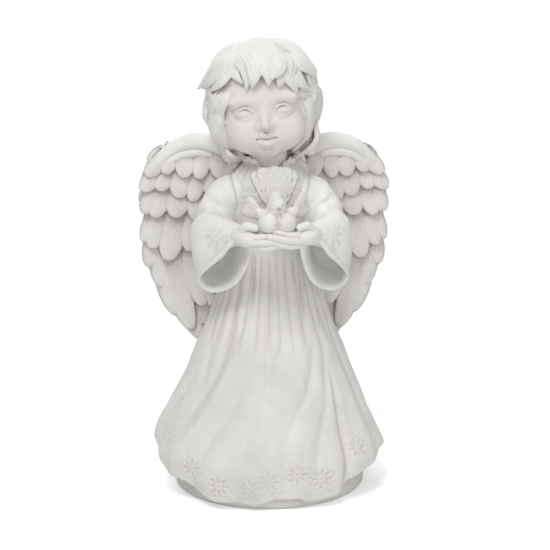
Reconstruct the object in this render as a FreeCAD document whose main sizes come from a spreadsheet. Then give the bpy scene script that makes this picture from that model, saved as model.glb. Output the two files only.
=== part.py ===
"""Resin angel figurine: a hollow robe casting with separately cast head, sleeves, hands, dove and wings.

Frame: +Z up, the figure faces -Y, origin on the table under the middle of the bounding box. Millimetres.
"Right" and "left" are the angel's own, so the right side is at -X.
"""
import FreeCAD, Part

import math
import os

from FreeCAD import Placement, Rotation, Vector

doc = FreeCAD.newDocument("resin_angel")

# ---------------------------------------------------------------- driving dimensions

SIZES = [
    # alias, value in millimetres unless the note says otherwise, what it is
    ("felt_thickness", 1.0, "felt under the casting"),
    ("felt_margin", 2.0, "felt's edge inside the foot's edge"),
    ("glue_gap", 0.15, "gap in every glued joint"),
    ("robe_height", 175.0, "table to the neck seat"),
    ("hem_width", 128.0, "skirt across the hem"),
    ("hem_depth", 105.0, "skirt at the hem, front to back"),
    ("hem_level", 22.0, "height of the skirt's widest section"),
    ("hem_lift", 17.0, "how far the hem rises at each side"),
    ("hem_clear", 1.5, "lowest point of the hem above the table"),
    ("shin_level", 52.0, "height of the shin section"),
    ("shin_width", 100.0, "skirt at the shins, width"),
    ("shin_depth", 84.0, "skirt at the shins, depth"),
    ("knee_level", 76.0, "height of the knee section"),
    ("knee_width", 81.0, "skirt at the knees, width"),
    ("knee_depth", 71.0, "skirt at the knees, depth"),
    ("waist_level", 120.0, "height of the waist section"),
    ("waist_width", 50.0, "robe at the waist, width"),
    ("waist_depth", 44.0, "robe at the waist, depth"),
    ("chest_level", 152.0, "height of the chest section"),
    ("chest_width", 46.0, "chest, width"),
    ("chest_depth", 38.0, "chest, depth"),
    ("collar_width", 30.0, "collar rim, width"),
    ("collar_depth", 28.0, "collar rim, depth"),
    ("fold_count", 16.0, "folds round the skirt, a count"),
    ("fold_depth", 4.0, "depth of a fold at the hem"),
    ("wall", 5.0, "wall of the hollow robe casting"),
    ("foot_width", 104.0, "foot of the casting, width"),
    ("foot_depth", 96.0, "foot of the casting, depth"),
    ("foot_height", 16.0, "height of the foot"),
    ("plug_radius", 26.0, "boss of the closing plug"),
    ("plug_rim", 4.0, "rim of the closing plug outside its boss"),
    ("plug_plate", 3.0, "thickness of the plug's plate"),
    ("plug_boss", 4.0, "height of the plug's boss"),
    ("neck_radius", 9.5, "neck"),
    ("neck_length", 12.0, "length of the neck"),
    ("neck_spigot_radius", 6.0, "neck spigot in its socket"),
    ("neck_spigot_length", 9.0, "length of the neck spigot"),
    ("face_width", 39.0, "face, width"),
    ("face_depth", 40.0, "face, front to back"),
    ("face_height", 44.0, "chin to forehead"),
    ("chin_rise", 6.5, "neck seat up to the chin"),
    ("hair_width", 55.0, "hair, width"),
    ("hair_depth", 51.0, "hair, front to back"),
    ("hair_back", 4.5, "hair's middle behind the body's middle"),
    ("head_top", 65.0, "neck seat up to the crown"),
    ("head_roll", 5.0, "degrees the head leans to the angel's right"),
    ("curl_radius", 6.5, "bunched curls beside the face"),
    ("armhole_plane", 19.0, "flat on the chest where a sleeve is glued"),
    ("armhole_drop", 16.0, "neck seat down to the armhole's middle"),
    ("armhole_radius", 11.0, "sleeve at the armhole"),
    ("arm_peg_radius", 4.0, "peg that locates a sleeve"),
    ("arm_peg_length", 6.0, "length of a sleeve's peg"),
    ("elbow_radius", 12.5, "sleeve round the upper arm"),
    ("forearm_width", 13.0, "half the sleeve's width round the forearm"),
    ("forearm_drop", 16.0, "half the sleeve's height round the forearm"),
    ("cuff_width", 11.0, "half the width of the sleeve's mouth"),
    ("cuff_drop", 23.5, "half the length of the sleeve's mouth"),
    ("cuff_wall", 2.4, "wall at the sleeve's mouth"),
    ("cuff_depth", 13.0, "hollow behind the sleeve's mouth"),
    ("hand_drop", 31.0, "neck seat down to the palms' middle"),
    ("hand_reach", 43.5, "palms in front of the body's middle"),
    ("hand_spread", 8.5, "palm's middle from the middle plane"),
    ("palm_length", 10.8, "half a palm, side to side"),
    ("palm_depth", 7.5, "half a palm, front to back"),
    ("palm_thickness", 4.6, "half a palm's thickness"),
    ("finger_radius", 1.8, "finger"),
    ("finger_length", 15.0, "finger"),
    ("thumb_radius", 2.1, "thumb"),
    ("thumb_length", 8.0, "thumb"),
    ("wrist_radius", 4.4, "wrist"),
    ("wrist_length", 31.0, "wrist from the palm into the sleeve"),
    ("dove_peg_radius", 1.4, "peg under the dove"),
    ("dove_peg_length", 3.5, "length of the dove's peg"),
    ("dove_width", 17.5, "dove across the breast"),
    ("dove_height", 11.0, "dove's body height"),
    ("dove_length", 17.0, "dove's body, front to back"),
    ("dove_head_radius", 4.3, "dove's head"),
    ("tail_height", 25.0, "dove's raised tail feathers"),
    ("tail_feathers", 7.0, "tail feathers, a count"),
    ("tail_spread", 62.0, "degrees the tail fans out"),
    ("wing_span", 138.0, "over both wings"),
    ("wing_length", 120.0, "top of a wing to its lowest tip"),
    ("wing_rise", 14.5, "top of a wing above the neck seat"),
    ("wing_sweep", 12.0, "degrees a wing turns back"),
    ("wing_arm_radius", 4.5, "rounded top edge of a wing"),
    ("wing_seat", 16.0, "flat on the back, behind the middle"),
    ("wing_blade", 3.6, "thickness of a wing's blade"),
    ("feather_thickness", 2.6, "feather"),
    ("feather_step", 1.2, "one row of feathers over the next"),
    ("root_offset", 9.0, "wing root's middle from the middle plane"),
    ("root_width", 11.0, "wing root pad, width"),
    ("root_height", 22.0, "wing root pad, height"),
    ("root_drop", 18.0, "neck seat down to the root's middle"),
    ("pin_radius", 1.5, "steel wing pin"),
    ("pin_length", 11.0, "steel wing pin"),
    ("pin_spacing", 12.0, "between the two pins of a wing"),
]

sheet = doc.addObject("Spreadsheet::Sheet", "sizes")
for row, (alias, value, note) in enumerate(SIZES, start=1):
    sheet.set(f"A{row}", str(value))
    sheet.setAlias(f"A{row}", alias)
    sheet.set(f"B{row}", note)
doc.recompute()


def size(alias):
    """The number in one cell of the sheet."""
    return float(sheet.get(alias))


def formula(text):
    """An expression on the sheet, from words, numbers and spaced operators."""
    aliases = {alias for alias, _, _ in SIZES}
    words = text.replace("(", " ( ").replace(")", " ) ").split()
    return " ".join(f"sizes.{word}" if word in aliases else word for word in words)


def bind(made, **formulas):
    """Binds an object's properties to formulas."""
    for name, text in formulas.items():
        made.setExpression(name, formula(text))
    return made


# ---------------------------------------------------------------- makers


def place(made, at, turn=None):
    """Puts an object at a point, turned by an optional rotation."""
    made.Placement = Placement(Vector(*at), turn or Rotation())
    return made


def turn_z_to(direction):
    """The rotation that takes +Z to a direction."""
    return Rotation(Vector(0, 0, 1), Vector(*direction))


def section_turn(normal, long_side):
    """The rotation of a section whose normal and long side are given."""
    z_axis = Vector(*normal).normalize()
    hint = Vector(*long_side)
    x_axis = (hint - z_axis * hint.dot(z_axis)).normalize()
    y_axis = z_axis.cross(x_axis)
    return Rotation(x_axis, y_axis, z_axis, "ZXY")


def ellipse(name, major, minor, at, turn=None):
    """An ellipse for a loft or an extrusion; its long side is its own x."""
    made = bind(doc.addObject("Part::Ellipse", name), MajorRadius=major, MinorRadius=minor)
    return place(made, at, turn)


def loft(name, sections, straight=False):
    """A solid through its sections, smooth or with straight sides between them."""
    made = doc.addObject("Part::Loft", name)
    made.Sections = sections
    made.Solid = True
    made.Ruled = straight
    return made


def plate(name, major, minor, thickness, at, turn):
    """An elliptical plate: its long side is its own x, its thickness starts at the point along its own z."""
    outline = ellipse(name + "_outline", major, minor, at, turn)
    made = doc.addObject("Part::Extrusion", name)
    made.Base = outline
    made.DirMode = "Normal"
    made.Solid = True
    return bind(made, LengthFwd=thickness)


def ellipsoid(name, across, along, up, at, turn=None):
    """An ellipsoid from its half sizes along its own x, y and z."""
    made = bind(doc.addObject("Part::Ellipsoid", name), Radius2=across, Radius3=along, Radius1=up)
    return place(made, at, turn)


def sphere(name, radius, at):
    """A sphere."""
    return place(bind(doc.addObject("Part::Sphere", name), Radius=radius), at)


def cylinder(name, radius, height, at, direction=(0, 0, 1)):
    """A cylinder from a point along a direction."""
    made = bind(doc.addObject("Part::Cylinder", name), Radius=radius, Height=height)
    return place(made, at, turn_z_to(direction))


def cone(name, radius1, radius2, height, at, direction):
    """A cone from a point along a direction."""
    made = bind(doc.addObject("Part::Cone", name), Radius1=radius1, Radius2=radius2, Height=height)
    return place(made, at, turn_z_to(direction))


def block(name, length, width, height, at):
    """A box from its low corner."""
    made = bind(doc.addObject("Part::Box", name), Length=length, Width=width, Height=height)
    return place(made, at)


def fuse(name, shapes):
    """One solid from several."""
    made = doc.addObject("Part::MultiFuse", name)
    made.Shapes = shapes
    return made


def cut(name, base, tool):
    """The base without the tool."""
    made = doc.addObject("Part::Cut", name)
    made.Base = base
    made.Tool = tool
    return made


def common(name, base, tool):
    """What base and tool share."""
    made = doc.addObject("Part::Common", name)
    made.Base = base
    made.Tool = tool
    return made


def mirrored(name, source):
    """The same piece for the other side of the figure."""
    made = doc.addObject("Part::Mirroring", name)
    made.Source = source
    made.Normal = Vector(1, 0, 0)
    return made


def finger(name, radius, length, at, direction):
    """A round-ended finger from its knuckle along a direction."""
    way = Vector(*direction).normalize()
    tip = Vector(*at) + way * size(length)
    shaft = cylinder(name, radius, length, at, tuple(way))
    return [shaft, sphere(name + "_tip", radius, tuple(tip)), sphere(name + "_knuckle", radius, at)]


# ---------------------------------------------------------------- robe casting

robe_top = size("robe_height")
felt = size("felt_thickness")


def fluted_section(name, level, width, depth, fold):
    """A closed wire round the robe: an ellipse whose folds only go inward from its full size."""
    count = int(size("fold_count"))
    steps = 6 * count
    points = []
    for step in range(steps):
        angle = 2 * math.pi * step / steps
        inward = fold * 0.5 * (1 - math.cos(count * angle))
        x = (width / 2 - inward) * math.cos(angle)
        y = (depth / 2 - inward) * math.sin(angle)
        points.append(Vector(x, y, level))
    curve = Part.BSplineCurve()
    curve.interpolate(Points=points, PeriodicFlag=True)
    made = doc.addObject("Part::Feature", name)
    made.Shape = Part.Wire(curve.toShape())
    return made


def robe_levels():
    """Height, width, depth and share of the folds at each section of the robe, from the foot up."""
    return [
        (0.0, size("hem_width"), size("hem_depth"), 1.0),
        (size("hem_level"), size("hem_width"), size("hem_depth") - 6, 1.0),
        (size("shin_level"), size("shin_width"), size("shin_depth"), 0.8),
        (size("knee_level"), size("knee_width"), size("knee_depth"), 0.6),
        (size("waist_level"), size("waist_width"), size("waist_depth"), 0.25),
        (size("chest_level"), size("chest_width"), size("chest_depth"), 0.05),
        ((size("chest_level") + robe_top) / 2 + 3, size("chest_width") - 3, size("chest_depth") - 3, 0.0),
        (robe_top, size("collar_width"), size("collar_depth"), 0.0),
    ]


def robe_skin(name):
    """The robe's outer form, with its folds, from the foot to the collar."""
    sections = [
        fluted_section(f"{name}_section_{index}", level, width, depth, size("fold_depth") * share)
        for index, (level, width, depth, share) in enumerate(robe_levels())
    ]
    return loft(name, sections)


skirt = robe_skin("skirt")

hem_round = "hem_width * hem_width / ( 8 * hem_lift ) + hem_lift / 2"
hem_radius = (size("hem_width") / 2) ** 2 / (2 * size("hem_lift")) + size("hem_lift") / 2
hem_curve = cylinder(
    "hem_curve",
    hem_round,
    "2 * hem_depth",
    (0, -size("hem_depth"), hem_radius + size("hem_clear")),
    (0, 1, 0),
)
hemmed_skirt = common("hemmed_skirt", skirt, hem_curve)

foot = plate(
    "foot",
    "foot_width / 2",
    "foot_depth / 2",
    "foot_height",
    (0, 0, felt),
    Rotation(),
)

bore_top = felt + size("plug_plate") + size("plug_boss") + 2
inner_levels = [
    (bore_top, "plug_radius + glue_gap", "plug_radius + glue_gap"),
    (size("hem_level"), "foot_width / 2 - wall - fold_depth", "foot_depth / 2 - wall - fold_depth"),
    (size("shin_level"), "shin_width / 2 - wall - fold_depth", "shin_depth / 2 - wall - fold_depth"),
    (size("knee_level"), "knee_width / 2 - wall - fold_depth", "knee_depth / 2 - wall - fold_depth"),
    (size("waist_level"), "waist_width / 2 - wall - fold_depth", "waist_depth / 2 - wall - fold_depth"),
    (size("chest_level") - 18, "waist_depth / 2 - 2 * wall", "waist_depth / 2 - 3 * wall"),
]
cavity_loft = loft(
    "cavity_loft",
    [ellipse(f"cavity_{i}", major, minor, (0, 0, z)) for i, (z, major, minor) in enumerate(inner_levels)],
    straight=True,
)
cavity_bore = cylinder(
    "cavity_bore",
    "plug_radius + glue_gap",
    "plug_plate + plug_boss + 3",
    (0, 0, felt),
)
plug_rebate = cylinder(
    "plug_rebate",
    "plug_radius + plug_rim + glue_gap",
    "plug_plate + glue_gap",
    (0, 0, felt),
)
neck_socket = cylinder(
    "neck_socket",
    "neck_spigot_radius + glue_gap",
    "neck_spigot_length + glue_gap",
    (0, 0, robe_top - size("neck_spigot_length") - size("glue_gap")),
)

armhole_level = robe_top - size("armhole_drop")
robe_cuts = [cavity_loft, cavity_bore, plug_rebate, neck_socket]
for side, sign in (("right", -1), ("left", 1)):
    flat = block(
        f"armhole_flat_{side}",
        "chest_width",
        "2 * chest_depth",
        "2 * armhole_radius + 4 * glue_gap",
        (0, -size("chest_depth"), armhole_level - size("armhole_radius") - 2 * size("glue_gap")),
    )
    flat.Placement.Base.x = size("armhole_plane") if sign > 0 else -size("armhole_plane") - size("chest_width")
    socket = cylinder(
        f"arm_socket_{side}",
        "arm_peg_radius + glue_gap",
        "arm_peg_length + glue_gap",
        (sign * size("armhole_plane"), 0, armhole_level),
        (-sign, 0, 0),
    )
    robe_cuts += [flat, socket]

root_level = robe_top - size("root_drop")
pin_buried = size("pin_length") / 2
for side, sign in (("right", -1), ("left", 1)):
    seat = block(
        f"wing_seat_{side}",
        "root_width + 4 * glue_gap",
        "chest_depth",
        "root_height + 4 * glue_gap",
        (
            sign * size("root_offset") - size("root_width") / 2 - 2 * size("glue_gap"),
            size("wing_seat"),
            root_level - size("root_height") / 2 - 2 * size("glue_gap"),
        ),
    )
    robe_cuts.append(seat)
    for step, level in enumerate((-0.5, 0.5)):
        hole = cylinder(
            f"pin_hole_{side}_{step}",
            "pin_radius + glue_gap",
            "pin_length / 2 + glue_gap",
            (sign * size("root_offset"), size("wing_seat"), root_level + level * size("pin_spacing")),
            (0, -1, 0),
        )
        robe_cuts.append(hole)

robe_body = cut("robe_body", fuse("robe_solid", [hemmed_skirt, foot]), fuse("robe_hollows", robe_cuts))

# ---------------------------------------------------------------- plug and felt

plug_plate = cylinder("plug_disc", "plug_radius + plug_rim", "plug_plate", (0, 0, felt))
plug_boss = cylinder("plug_boss_disc", "plug_radius", "plug_plate + plug_boss", (0, 0, felt))
base_plug = fuse("base_plug", [plug_plate, plug_boss])

felt_pad = plate(
    "felt_pad",
    "foot_width / 2 - felt_margin",
    "foot_depth / 2 - felt_margin",
    "felt_thickness",
    (0, 0, 0),
    Rotation(),
)

# ---------------------------------------------------------------- head

neck_seat = robe_top + size("glue_gap")
lean = Rotation(Vector(0, 1, 0), -size("head_roll"))
neck_pivot = Vector(0, 0, robe_top)


def leant(x, y, z):
    """A point of the upright head, moved with the head's lean."""
    return tuple(neck_pivot + lean.multVec(Vector(x, y, z) - neck_pivot))


chin = robe_top + size("chin_rise")
face_middle = chin + size("face_height") / 2
crown = robe_top + size("head_top")
hair_middle = crown - size("hair_width") / 2
hair_half = size("hair_width") / 2
face_front = -4 - size("face_depth") / 2

head_parts = [
    cylinder("neck", "neck_radius", "neck_length", (0, 0, neck_seat)),
    cylinder(
        "neck_spigot",
        "neck_spigot_radius",
        "neck_spigot_length + 2",
        (0, 0, robe_top - size("neck_spigot_length")),
    ),
    ellipsoid("face", "face_width / 2", "face_depth / 2", "face_height / 2", leant(0, -4, face_middle), lean),
    ellipsoid(
        "hair_cap",
        "hair_width / 2",
        "hair_depth / 2",
        "hair_width / 2",
        leant(0, size("hair_back"), hair_middle),
        lean,
    ),
    sphere("nose", "face_width / 16", leant(0, face_front + 0.5, chin + 0.35 * size("face_height"))),
]
for side, sign in (("right", -1), ("left", 1)):
    cheek = leant(sign * 0.20 * size("face_width"), face_front + 10, chin + 0.30 * size("face_height"))
    head_parts.append(sphere(f"cheek_{side}", "face_width / 4.4", cheek))
    for step in range(4):
        level = chin + 5 + 8 * step
        outward = hair_half - 4 + 2.2 * step
        curl = leant(sign * outward * 0.96, -6 + 1.5 * step, level)
        head_parts.append(sphere(f"curl_{side}_{step}", "curl_radius", curl))
for step in range(5):
    around = math.radians(-150 + 30 * step)
    nape = leant(0.62 * hair_half * math.cos(around), 2 - 0.45 * hair_half * math.sin(around), chin + 5)
    head_parts.append(sphere(f"nape_curl_{step}", "curl_radius + 2", nape))
for step in range(5):
    across = -0.62 + 0.31 * step
    front = size("hair_back") - size("hair_depth") / 2 * math.sqrt(1 - across ** 2)
    fringe = leant(across * hair_half, front + 4.5, chin + 0.80 * size("face_height") + 3 * abs(across))
    head_parts.append(ellipsoid(f"fringe_{step}", "curl_radius", "curl_radius", "curl_radius * 1.4", fringe, lean))
head = fuse("head", head_parts)

# ---------------------------------------------------------------- sleeves (the left one is modelled)

palm_level = robe_top - size("hand_drop")
cuff_middle = Vector(24.5, -33.5, palm_level - 12.5)
cuff_normal = Vector(0.03, -0.86, -0.50).normalize()
cuff_long = Vector(0.49, 0.40, -0.775)
cuff_turn = section_turn(tuple(cuff_normal), tuple(cuff_long))
gap = size("glue_gap")
sleeve_start = size("armhole_plane") + gap

elbow_point = (26.5, -3, armhole_level - 6)
forearm = loft(
    "forearm",
    [
        ellipse(
            "forearm_top",
            "elbow_radius - 0.3",
            "elbow_radius - 0.3",
            elbow_point,
            section_turn((0.75, -0.2, -0.6), (0, 0.6, -1)),
        ),
        ellipse(
            "forearm_middle",
            "forearm_drop",
            "forearm_width",
            (28.5, -15, armhole_level - 19),
            section_turn((0.1, -0.8, -0.6), (0.25, 0.6, -1)),
        ),
        ellipse("sleeve_mouth", "cuff_drop", "cuff_width", tuple(cuff_middle), cuff_turn),
    ],
)
shoulder_ball = sphere("shoulder_ball", "armhole_radius", (sleeve_start + 1.3, 0, armhole_level))
elbow_ball = sphere("elbow_ball", "elbow_radius", elbow_point)
sleeve_skin = fuse("sleeve_skin", [forearm, elbow_ball, shoulder_ball])
arm_peg = cylinder(
    "arm_peg",
    "arm_peg_radius",
    "arm_peg_length + 4",
    (sleeve_start - size("arm_peg_length"), 0, armhole_level),
    (1, 0, 0),
)
cuff_back = cuff_middle - cuff_normal * size("cuff_depth") + Vector(1.5, 0, 0)
cuff_hollow = loft(
    "cuff_hollow",
    [
        ellipse(
            "cuff_inner",
            "forearm_drop - 2 * cuff_wall",
            "forearm_width - 2 * cuff_wall",
            tuple(cuff_back),
            cuff_turn,
        ),
        ellipse(
            "cuff_rim",
            "cuff_drop - cuff_wall + 0.4",
            "cuff_width - cuff_wall + 0.4",
            tuple(cuff_middle + cuff_normal),
            cuff_turn,
        ),
    ],
)

palm_point = (size("hand_spread") + 0.5 * size("palm_length"), -size("hand_reach") + 2.5, palm_level - 0.6)
wrist_way = (0.46, 0.86, -0.20)


def palm(name, grow):
    """One palm, grown by a gap."""
    return ellipsoid(
        name,
        f"palm_length + {grow}",
        f"palm_depth + {grow}",
        f"palm_thickness + {grow}",
        (size("hand_spread"), -size("hand_reach"), palm_level),
        Rotation(Vector(0, 1, 0), -14),
    )


hand_room = fuse(
    "hand_room",
    [
        palm("palm_room", "2 * glue_gap"),
        cylinder("wrist_room", "wrist_radius + glue_gap", "wrist_length + glue_gap", palm_point, wrist_way),
        sphere(
            "thumb_room",
            "2 * thumb_radius + finger_radius",
            (size("hand_spread") + 7.5, -size("hand_reach") - 0.5, palm_level + 4.0),
        ),
    ],
)
body_room = plate(
    "body_room",
    "waist_width / 2 + 6 * glue_gap",
    "waist_depth / 2 + 6 * glue_gap",
    "robe_height - waist_level + 12",
    (0, 0, size("waist_level") - 12),
    Rotation(),
)
body_tool = cut("body_tool", body_room, block(
    "armhole_side",
    "chest_width",
    "2 * chest_depth",
    "2 * armhole_radius",
    (sleeve_start - gap / 2, -size("chest_depth"), armhole_level - size("armhole_radius")),
))
sleeve_solid = cut("sleeve_solid", sleeve_skin, fuse("sleeve_rooms", [cuff_hollow, hand_room, body_tool]))
sleeve_left = fuse("sleeve_left", [sleeve_solid, arm_peg])
sleeve_right = mirrored("sleeve_right", sleeve_left)

# ---------------------------------------------------------------- hands

hand_parts = [palm("palm_left", "0")]
hand_parts.append(cylinder("wrist_left", "wrist_radius", "wrist_length", palm_point, wrist_way))
for step in range(4):
    knuckle = (
        size("hand_spread") + 4.0 - 1.2 * step,
        -size("hand_reach") - 4.6 - 0.5 * step,
        palm_level + 1.2 - 2.1 * step,
    )
    hand_parts += finger(f"finger_left_{step}", "finger_radius", "finger_length", knuckle, (-1, -0.12, 0.18))
thumb_point = (size("hand_spread") + 8.5, -size("hand_reach") - 0.5, palm_level + 3.0)
hand_parts += finger("thumb_left", "thumb_radius", "thumb_length", thumb_point, (-0.9, -0.1, 0.2))
hand_left = fuse("hand_left", hand_parts)
hand_right = mirrored("hand_right", hand_left)

dove_low = palm_level + 0.35 * size("palm_thickness")
dove_middle = Vector(0, -size("hand_reach"), dove_low + size("dove_height") / 2)
dove_room = ellipsoid(
    "dove_room",
    "dove_width / 2 + glue_gap",
    "dove_length / 2 + glue_gap",
    "dove_height / 2 + glue_gap",
    tuple(dove_middle),
)
dove_peg_low = dove_low - size("dove_peg_length")
dove_socket = cylinder(
    "dove_socket",
    "dove_peg_radius + glue_gap",
    "dove_peg_length + 3",
    (0, -size("hand_reach"), dove_peg_low - size("glue_gap")),
)
hands = cut("hands", fuse("hand_pair", [hand_left, hand_right]), fuse("dove_rooms", [dove_room, dove_socket]))

# ---------------------------------------------------------------- dove

dove_head = dove_middle + Vector(0, -4.0, 7.0)
dove_parts = [
    ellipsoid("dove_body", "dove_width / 2", "dove_length / 2", "dove_height / 2", tuple(dove_middle)),
    cylinder(
        "dove_peg",
        "dove_peg_radius",
        "dove_peg_length + 3",
        (0, -size("hand_reach"), dove_peg_low),
    ),
    sphere("dove_head", "dove_head_radius", tuple(dove_head)),
    cone(
        "dove_beak",
        "dove_head_radius / 3",
        "0.25",
        "dove_head_radius / 2 + 0.8",
        tuple(dove_head + Vector(0, -0.8 * size("dove_head_radius"), 0)),
        (0, -1, -0.2),
    ),
]
tail_root = dove_middle + Vector(0, 4.0, 2.0)
tail_count = int(size("tail_feathers"))
for step in range(tail_count):
    fan = math.radians(size("tail_spread") * (step / (tail_count - 1) - 0.5))
    way = Vector(math.sin(fan), 0.42, math.cos(fan)).normalize()
    middle = tail_root + way * (0.5 * size("tail_height")) + Vector(0, 0.3 * (step % 2), 0)
    turn = section_turn((0, -way.z, way.y), tuple(way))
    feather = plate(
        f"tail_feather_{step}",
        "tail_height / 2",
        "tail_height / 7",
        "feather_thickness / 2",
        tuple(middle),
        turn,
    )
    dove_parts.append(feather)
for side, sign in (("right", -1), ("left", 1)):
    dove_parts.append(
        ellipsoid(
            f"dove_wing_{side}",
            "1.6",
            "dove_length / 3",
            "dove_height / 2",
            tuple(dove_middle + Vector(sign * 0.44 * size("dove_width"), 2.0, 3.5)),
            Rotation(Vector(0, 1, 0), sign * 22),
        )
    )
dove = fuse("dove", dove_parts)

# ---------------------------------------------------------------- wings (the left one is modelled)

wing_top = robe_top + size("wing_rise")
sweep = Rotation(Vector(0, 0, 1), size("wing_sweep"))
seat_face = size("wing_seat") + gap
root_back = 6.0
hinge = Vector(size("root_offset"), seat_face + root_back, 0)
blade_reach = (size("wing_span") / 2 - size("root_offset")) / math.cos(math.radians(size("wing_sweep")))


def on_wing(outward, upward, forward=0.0):
    """A point of the wing: shares of its reach and length, and millimetres forward of its blade."""
    flat = Vector(outward * blade_reach, -forward, 0)
    turned = sweep.multVec(flat)
    level = wing_top - size("wing_length") * (1 - upward)
    return Vector(hinge.x + turned.x, hinge.y + turned.y, level)


def wing_plate(name, root, tip, width, thickness, forward):
    """A feather from its root to its tip, both as shares of the wing."""
    start = on_wing(*root, forward)
    end = on_wing(*tip, forward)
    length = (end - start).Length
    facing = sweep.multVec(Vector(0, -1, 0))
    turn = section_turn(tuple(facing), tuple(end - start))
    outline = doc.addObject("Part::Ellipse", name + "_outline")
    outline.MajorRadius = length / 2
    outline.MinorRadius = width / 2
    place(outline, tuple((start + end) * 0.5), turn)
    made = doc.addObject("Part::Extrusion", name)
    made.Base = outline
    made.DirMode = "Normal"
    made.Solid = True
    return bind(made, LengthFwd=thickness)


FEATHER_ROWS = [
    # name, first root, last root, first tip, last tip, count, width
    ("flight", (0.20, 0.56), (0.62, 0.86), (0.40, 0.02), (0.97, 0.50), 6, 17.0),
    ("lower", (0.18, 0.76), (0.66, 0.92), (0.28, 0.36), (0.97, 0.66), 5, 17.0),
    ("middle", (0.20, 0.86), (0.66, 0.95), (0.24, 0.60), (0.93, 0.78), 5, 15.0),
    ("upper", (0.26, 0.92), (0.62, 0.97), (0.28, 0.75), (0.84, 0.87), 4, 13.0),
]

wing_parts = []
for layer, (row_name, root_a, root_b, tip_a, tip_b, count, width) in enumerate(FEATHER_ROWS):
    for step in range(count):
        share = step / (count - 1)
        root = [a + (b - a) * share for a, b in zip(root_a, root_b)]
        tip = [a + (b - a) * share for a, b in zip(tip_a, tip_b)]
        forward = layer * size("feather_step") + 0.35 * (step % 2)
        name = f"feather_{row_name}_{step}"
        wing_parts.append(wing_plate(name, root, tip, width, "feather_thickness", forward))
wing_parts.append(wing_plate("wing_web", (-0.06, 0.72), (0.86, 0.80), 46.0, "wing_blade", 0.1))

arm_points = [on_wing(0.06, 0.83, 3.5), on_wing(0.30, 0.945, 3.5), on_wing(0.60, 0.9625, 3.5), on_wing(0.80, 0.90, 3.5)]
for step, (start, end) in enumerate(zip(arm_points, arm_points[1:])):
    way = end - start
    bone = cylinder(f"wing_arm_{step}", "wing_arm_radius", str(round(way.Length, 6)), tuple(start), tuple(way))
    wing_parts += [bone, sphere(f"wing_arm_end_{step}", "wing_arm_radius", tuple(end))]

wing_parts.append(
    block(
        "wing_root",
        "root_width",
        str(root_back + 2.0),
        "root_height",
        (
            size("root_offset") - size("root_width") / 2,
            seat_face,
            root_level - size("root_height") / 2,
        ),
    )
)
wing_holes = [
    cylinder(
        f"wing_hole_{step}",
        "pin_radius + glue_gap",
        "pin_length / 2 + glue_gap",
        (size("root_offset"), seat_face, root_level + level * size("pin_spacing")),
        (0, 1, 0),
    )
    for step, level in enumerate((-0.5, 0.5))
]
back_tool = cut("back_tool", body_room, block(
    "root_side",
    "root_width + 4 * glue_gap",
    "chest_depth",
    "root_height + 4 * glue_gap",
    (
        size("root_offset") - size("root_width") / 2 - 2 * gap,
        size("wing_seat"),
        root_level - size("root_height") / 2 - 2 * gap,
    ),
))
wing_left = cut("wing_left", fuse("wing_solid", wing_parts), fuse("wing_rooms", wing_holes + [back_tool]))
wing_right = mirrored("wing_right", wing_left)

# ---------------------------------------------------------------- wing pins


def wing_pins(name, sign):
    """The two steel pins of one wing."""
    made = doc.addObject("Part::Compound", name)
    made.Links = [
        cylinder(
            f"{name}_{step}",
            "pin_radius",
            "pin_length",
            (
                sign * size("root_offset"),
                seat_face - gap / 2 - pin_buried,
                root_level + level * size("pin_spacing"),
            ),
            (0, 1, 0),
        )
        for step, level in enumerate((-0.5, 0.5))
    ]
    return made


wing_pins_right = wing_pins("wing_pins_right", -1)
wing_pins_left = wing_pins("wing_pins_left", 1)

# ---------------------------------------------------------------- check and export

NODES = [
    robe_body,
    head,
    sleeve_right,
    sleeve_left,
    hands,
    dove,
    wing_right,
    wing_left,
    wing_pins_right,
    wing_pins_left,
    base_plug,
    felt_pad,
]

doc.recompute()
for made in doc.Objects:
    if "Invalid" in made.State or "Error" in made.State:
        raise RuntimeError(f"{made.Name} did not recompute: {made.State}")

os.makedirs("parts", exist_ok=True)
for made in NODES:
    made.Label = made.Name
    shape = made.Shape
    if shape.isNull() or not shape.isValid():
        raise RuntimeError(f"{made.Name} has no valid shape")
    if not shape.Solids:
        raise RuntimeError(f"{made.Name} has no solid")
    shape.exportStep(f"parts/{made.Name}.step")
    box = shape.BoundBox
    print(
        made.Name,
        "solids",
        len(shape.Solids),
        "volume",
        round(shape.Volume),
        "x",
        round(box.XMin, 1),
        round(box.XMax, 1),
        "y",
        round(box.YMin, 1),
        round(box.YMax, 1),
        "z",
        round(box.ZMin, 1),
        round(box.ZMax, 1),
    )
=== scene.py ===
"""Visual model of the white resin angel figurine. Lengths are in millimetres until a mesh is made."""
import math

import bpy
import numpy as np
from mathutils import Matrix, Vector


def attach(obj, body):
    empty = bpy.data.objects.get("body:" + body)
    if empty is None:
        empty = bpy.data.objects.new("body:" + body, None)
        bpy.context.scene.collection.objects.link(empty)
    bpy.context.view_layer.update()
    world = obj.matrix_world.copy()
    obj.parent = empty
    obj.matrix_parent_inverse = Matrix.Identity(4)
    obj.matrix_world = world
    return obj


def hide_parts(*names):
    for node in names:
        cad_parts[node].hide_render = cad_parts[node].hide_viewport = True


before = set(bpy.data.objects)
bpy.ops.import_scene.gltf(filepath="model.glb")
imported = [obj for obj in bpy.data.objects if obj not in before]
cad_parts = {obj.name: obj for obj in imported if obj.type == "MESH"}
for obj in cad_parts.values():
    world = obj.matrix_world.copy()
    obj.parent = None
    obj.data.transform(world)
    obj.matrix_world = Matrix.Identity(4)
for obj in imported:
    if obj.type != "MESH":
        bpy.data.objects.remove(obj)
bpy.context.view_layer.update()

MM = 0.001
scene = bpy.context.scene

# ---- materials


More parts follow.
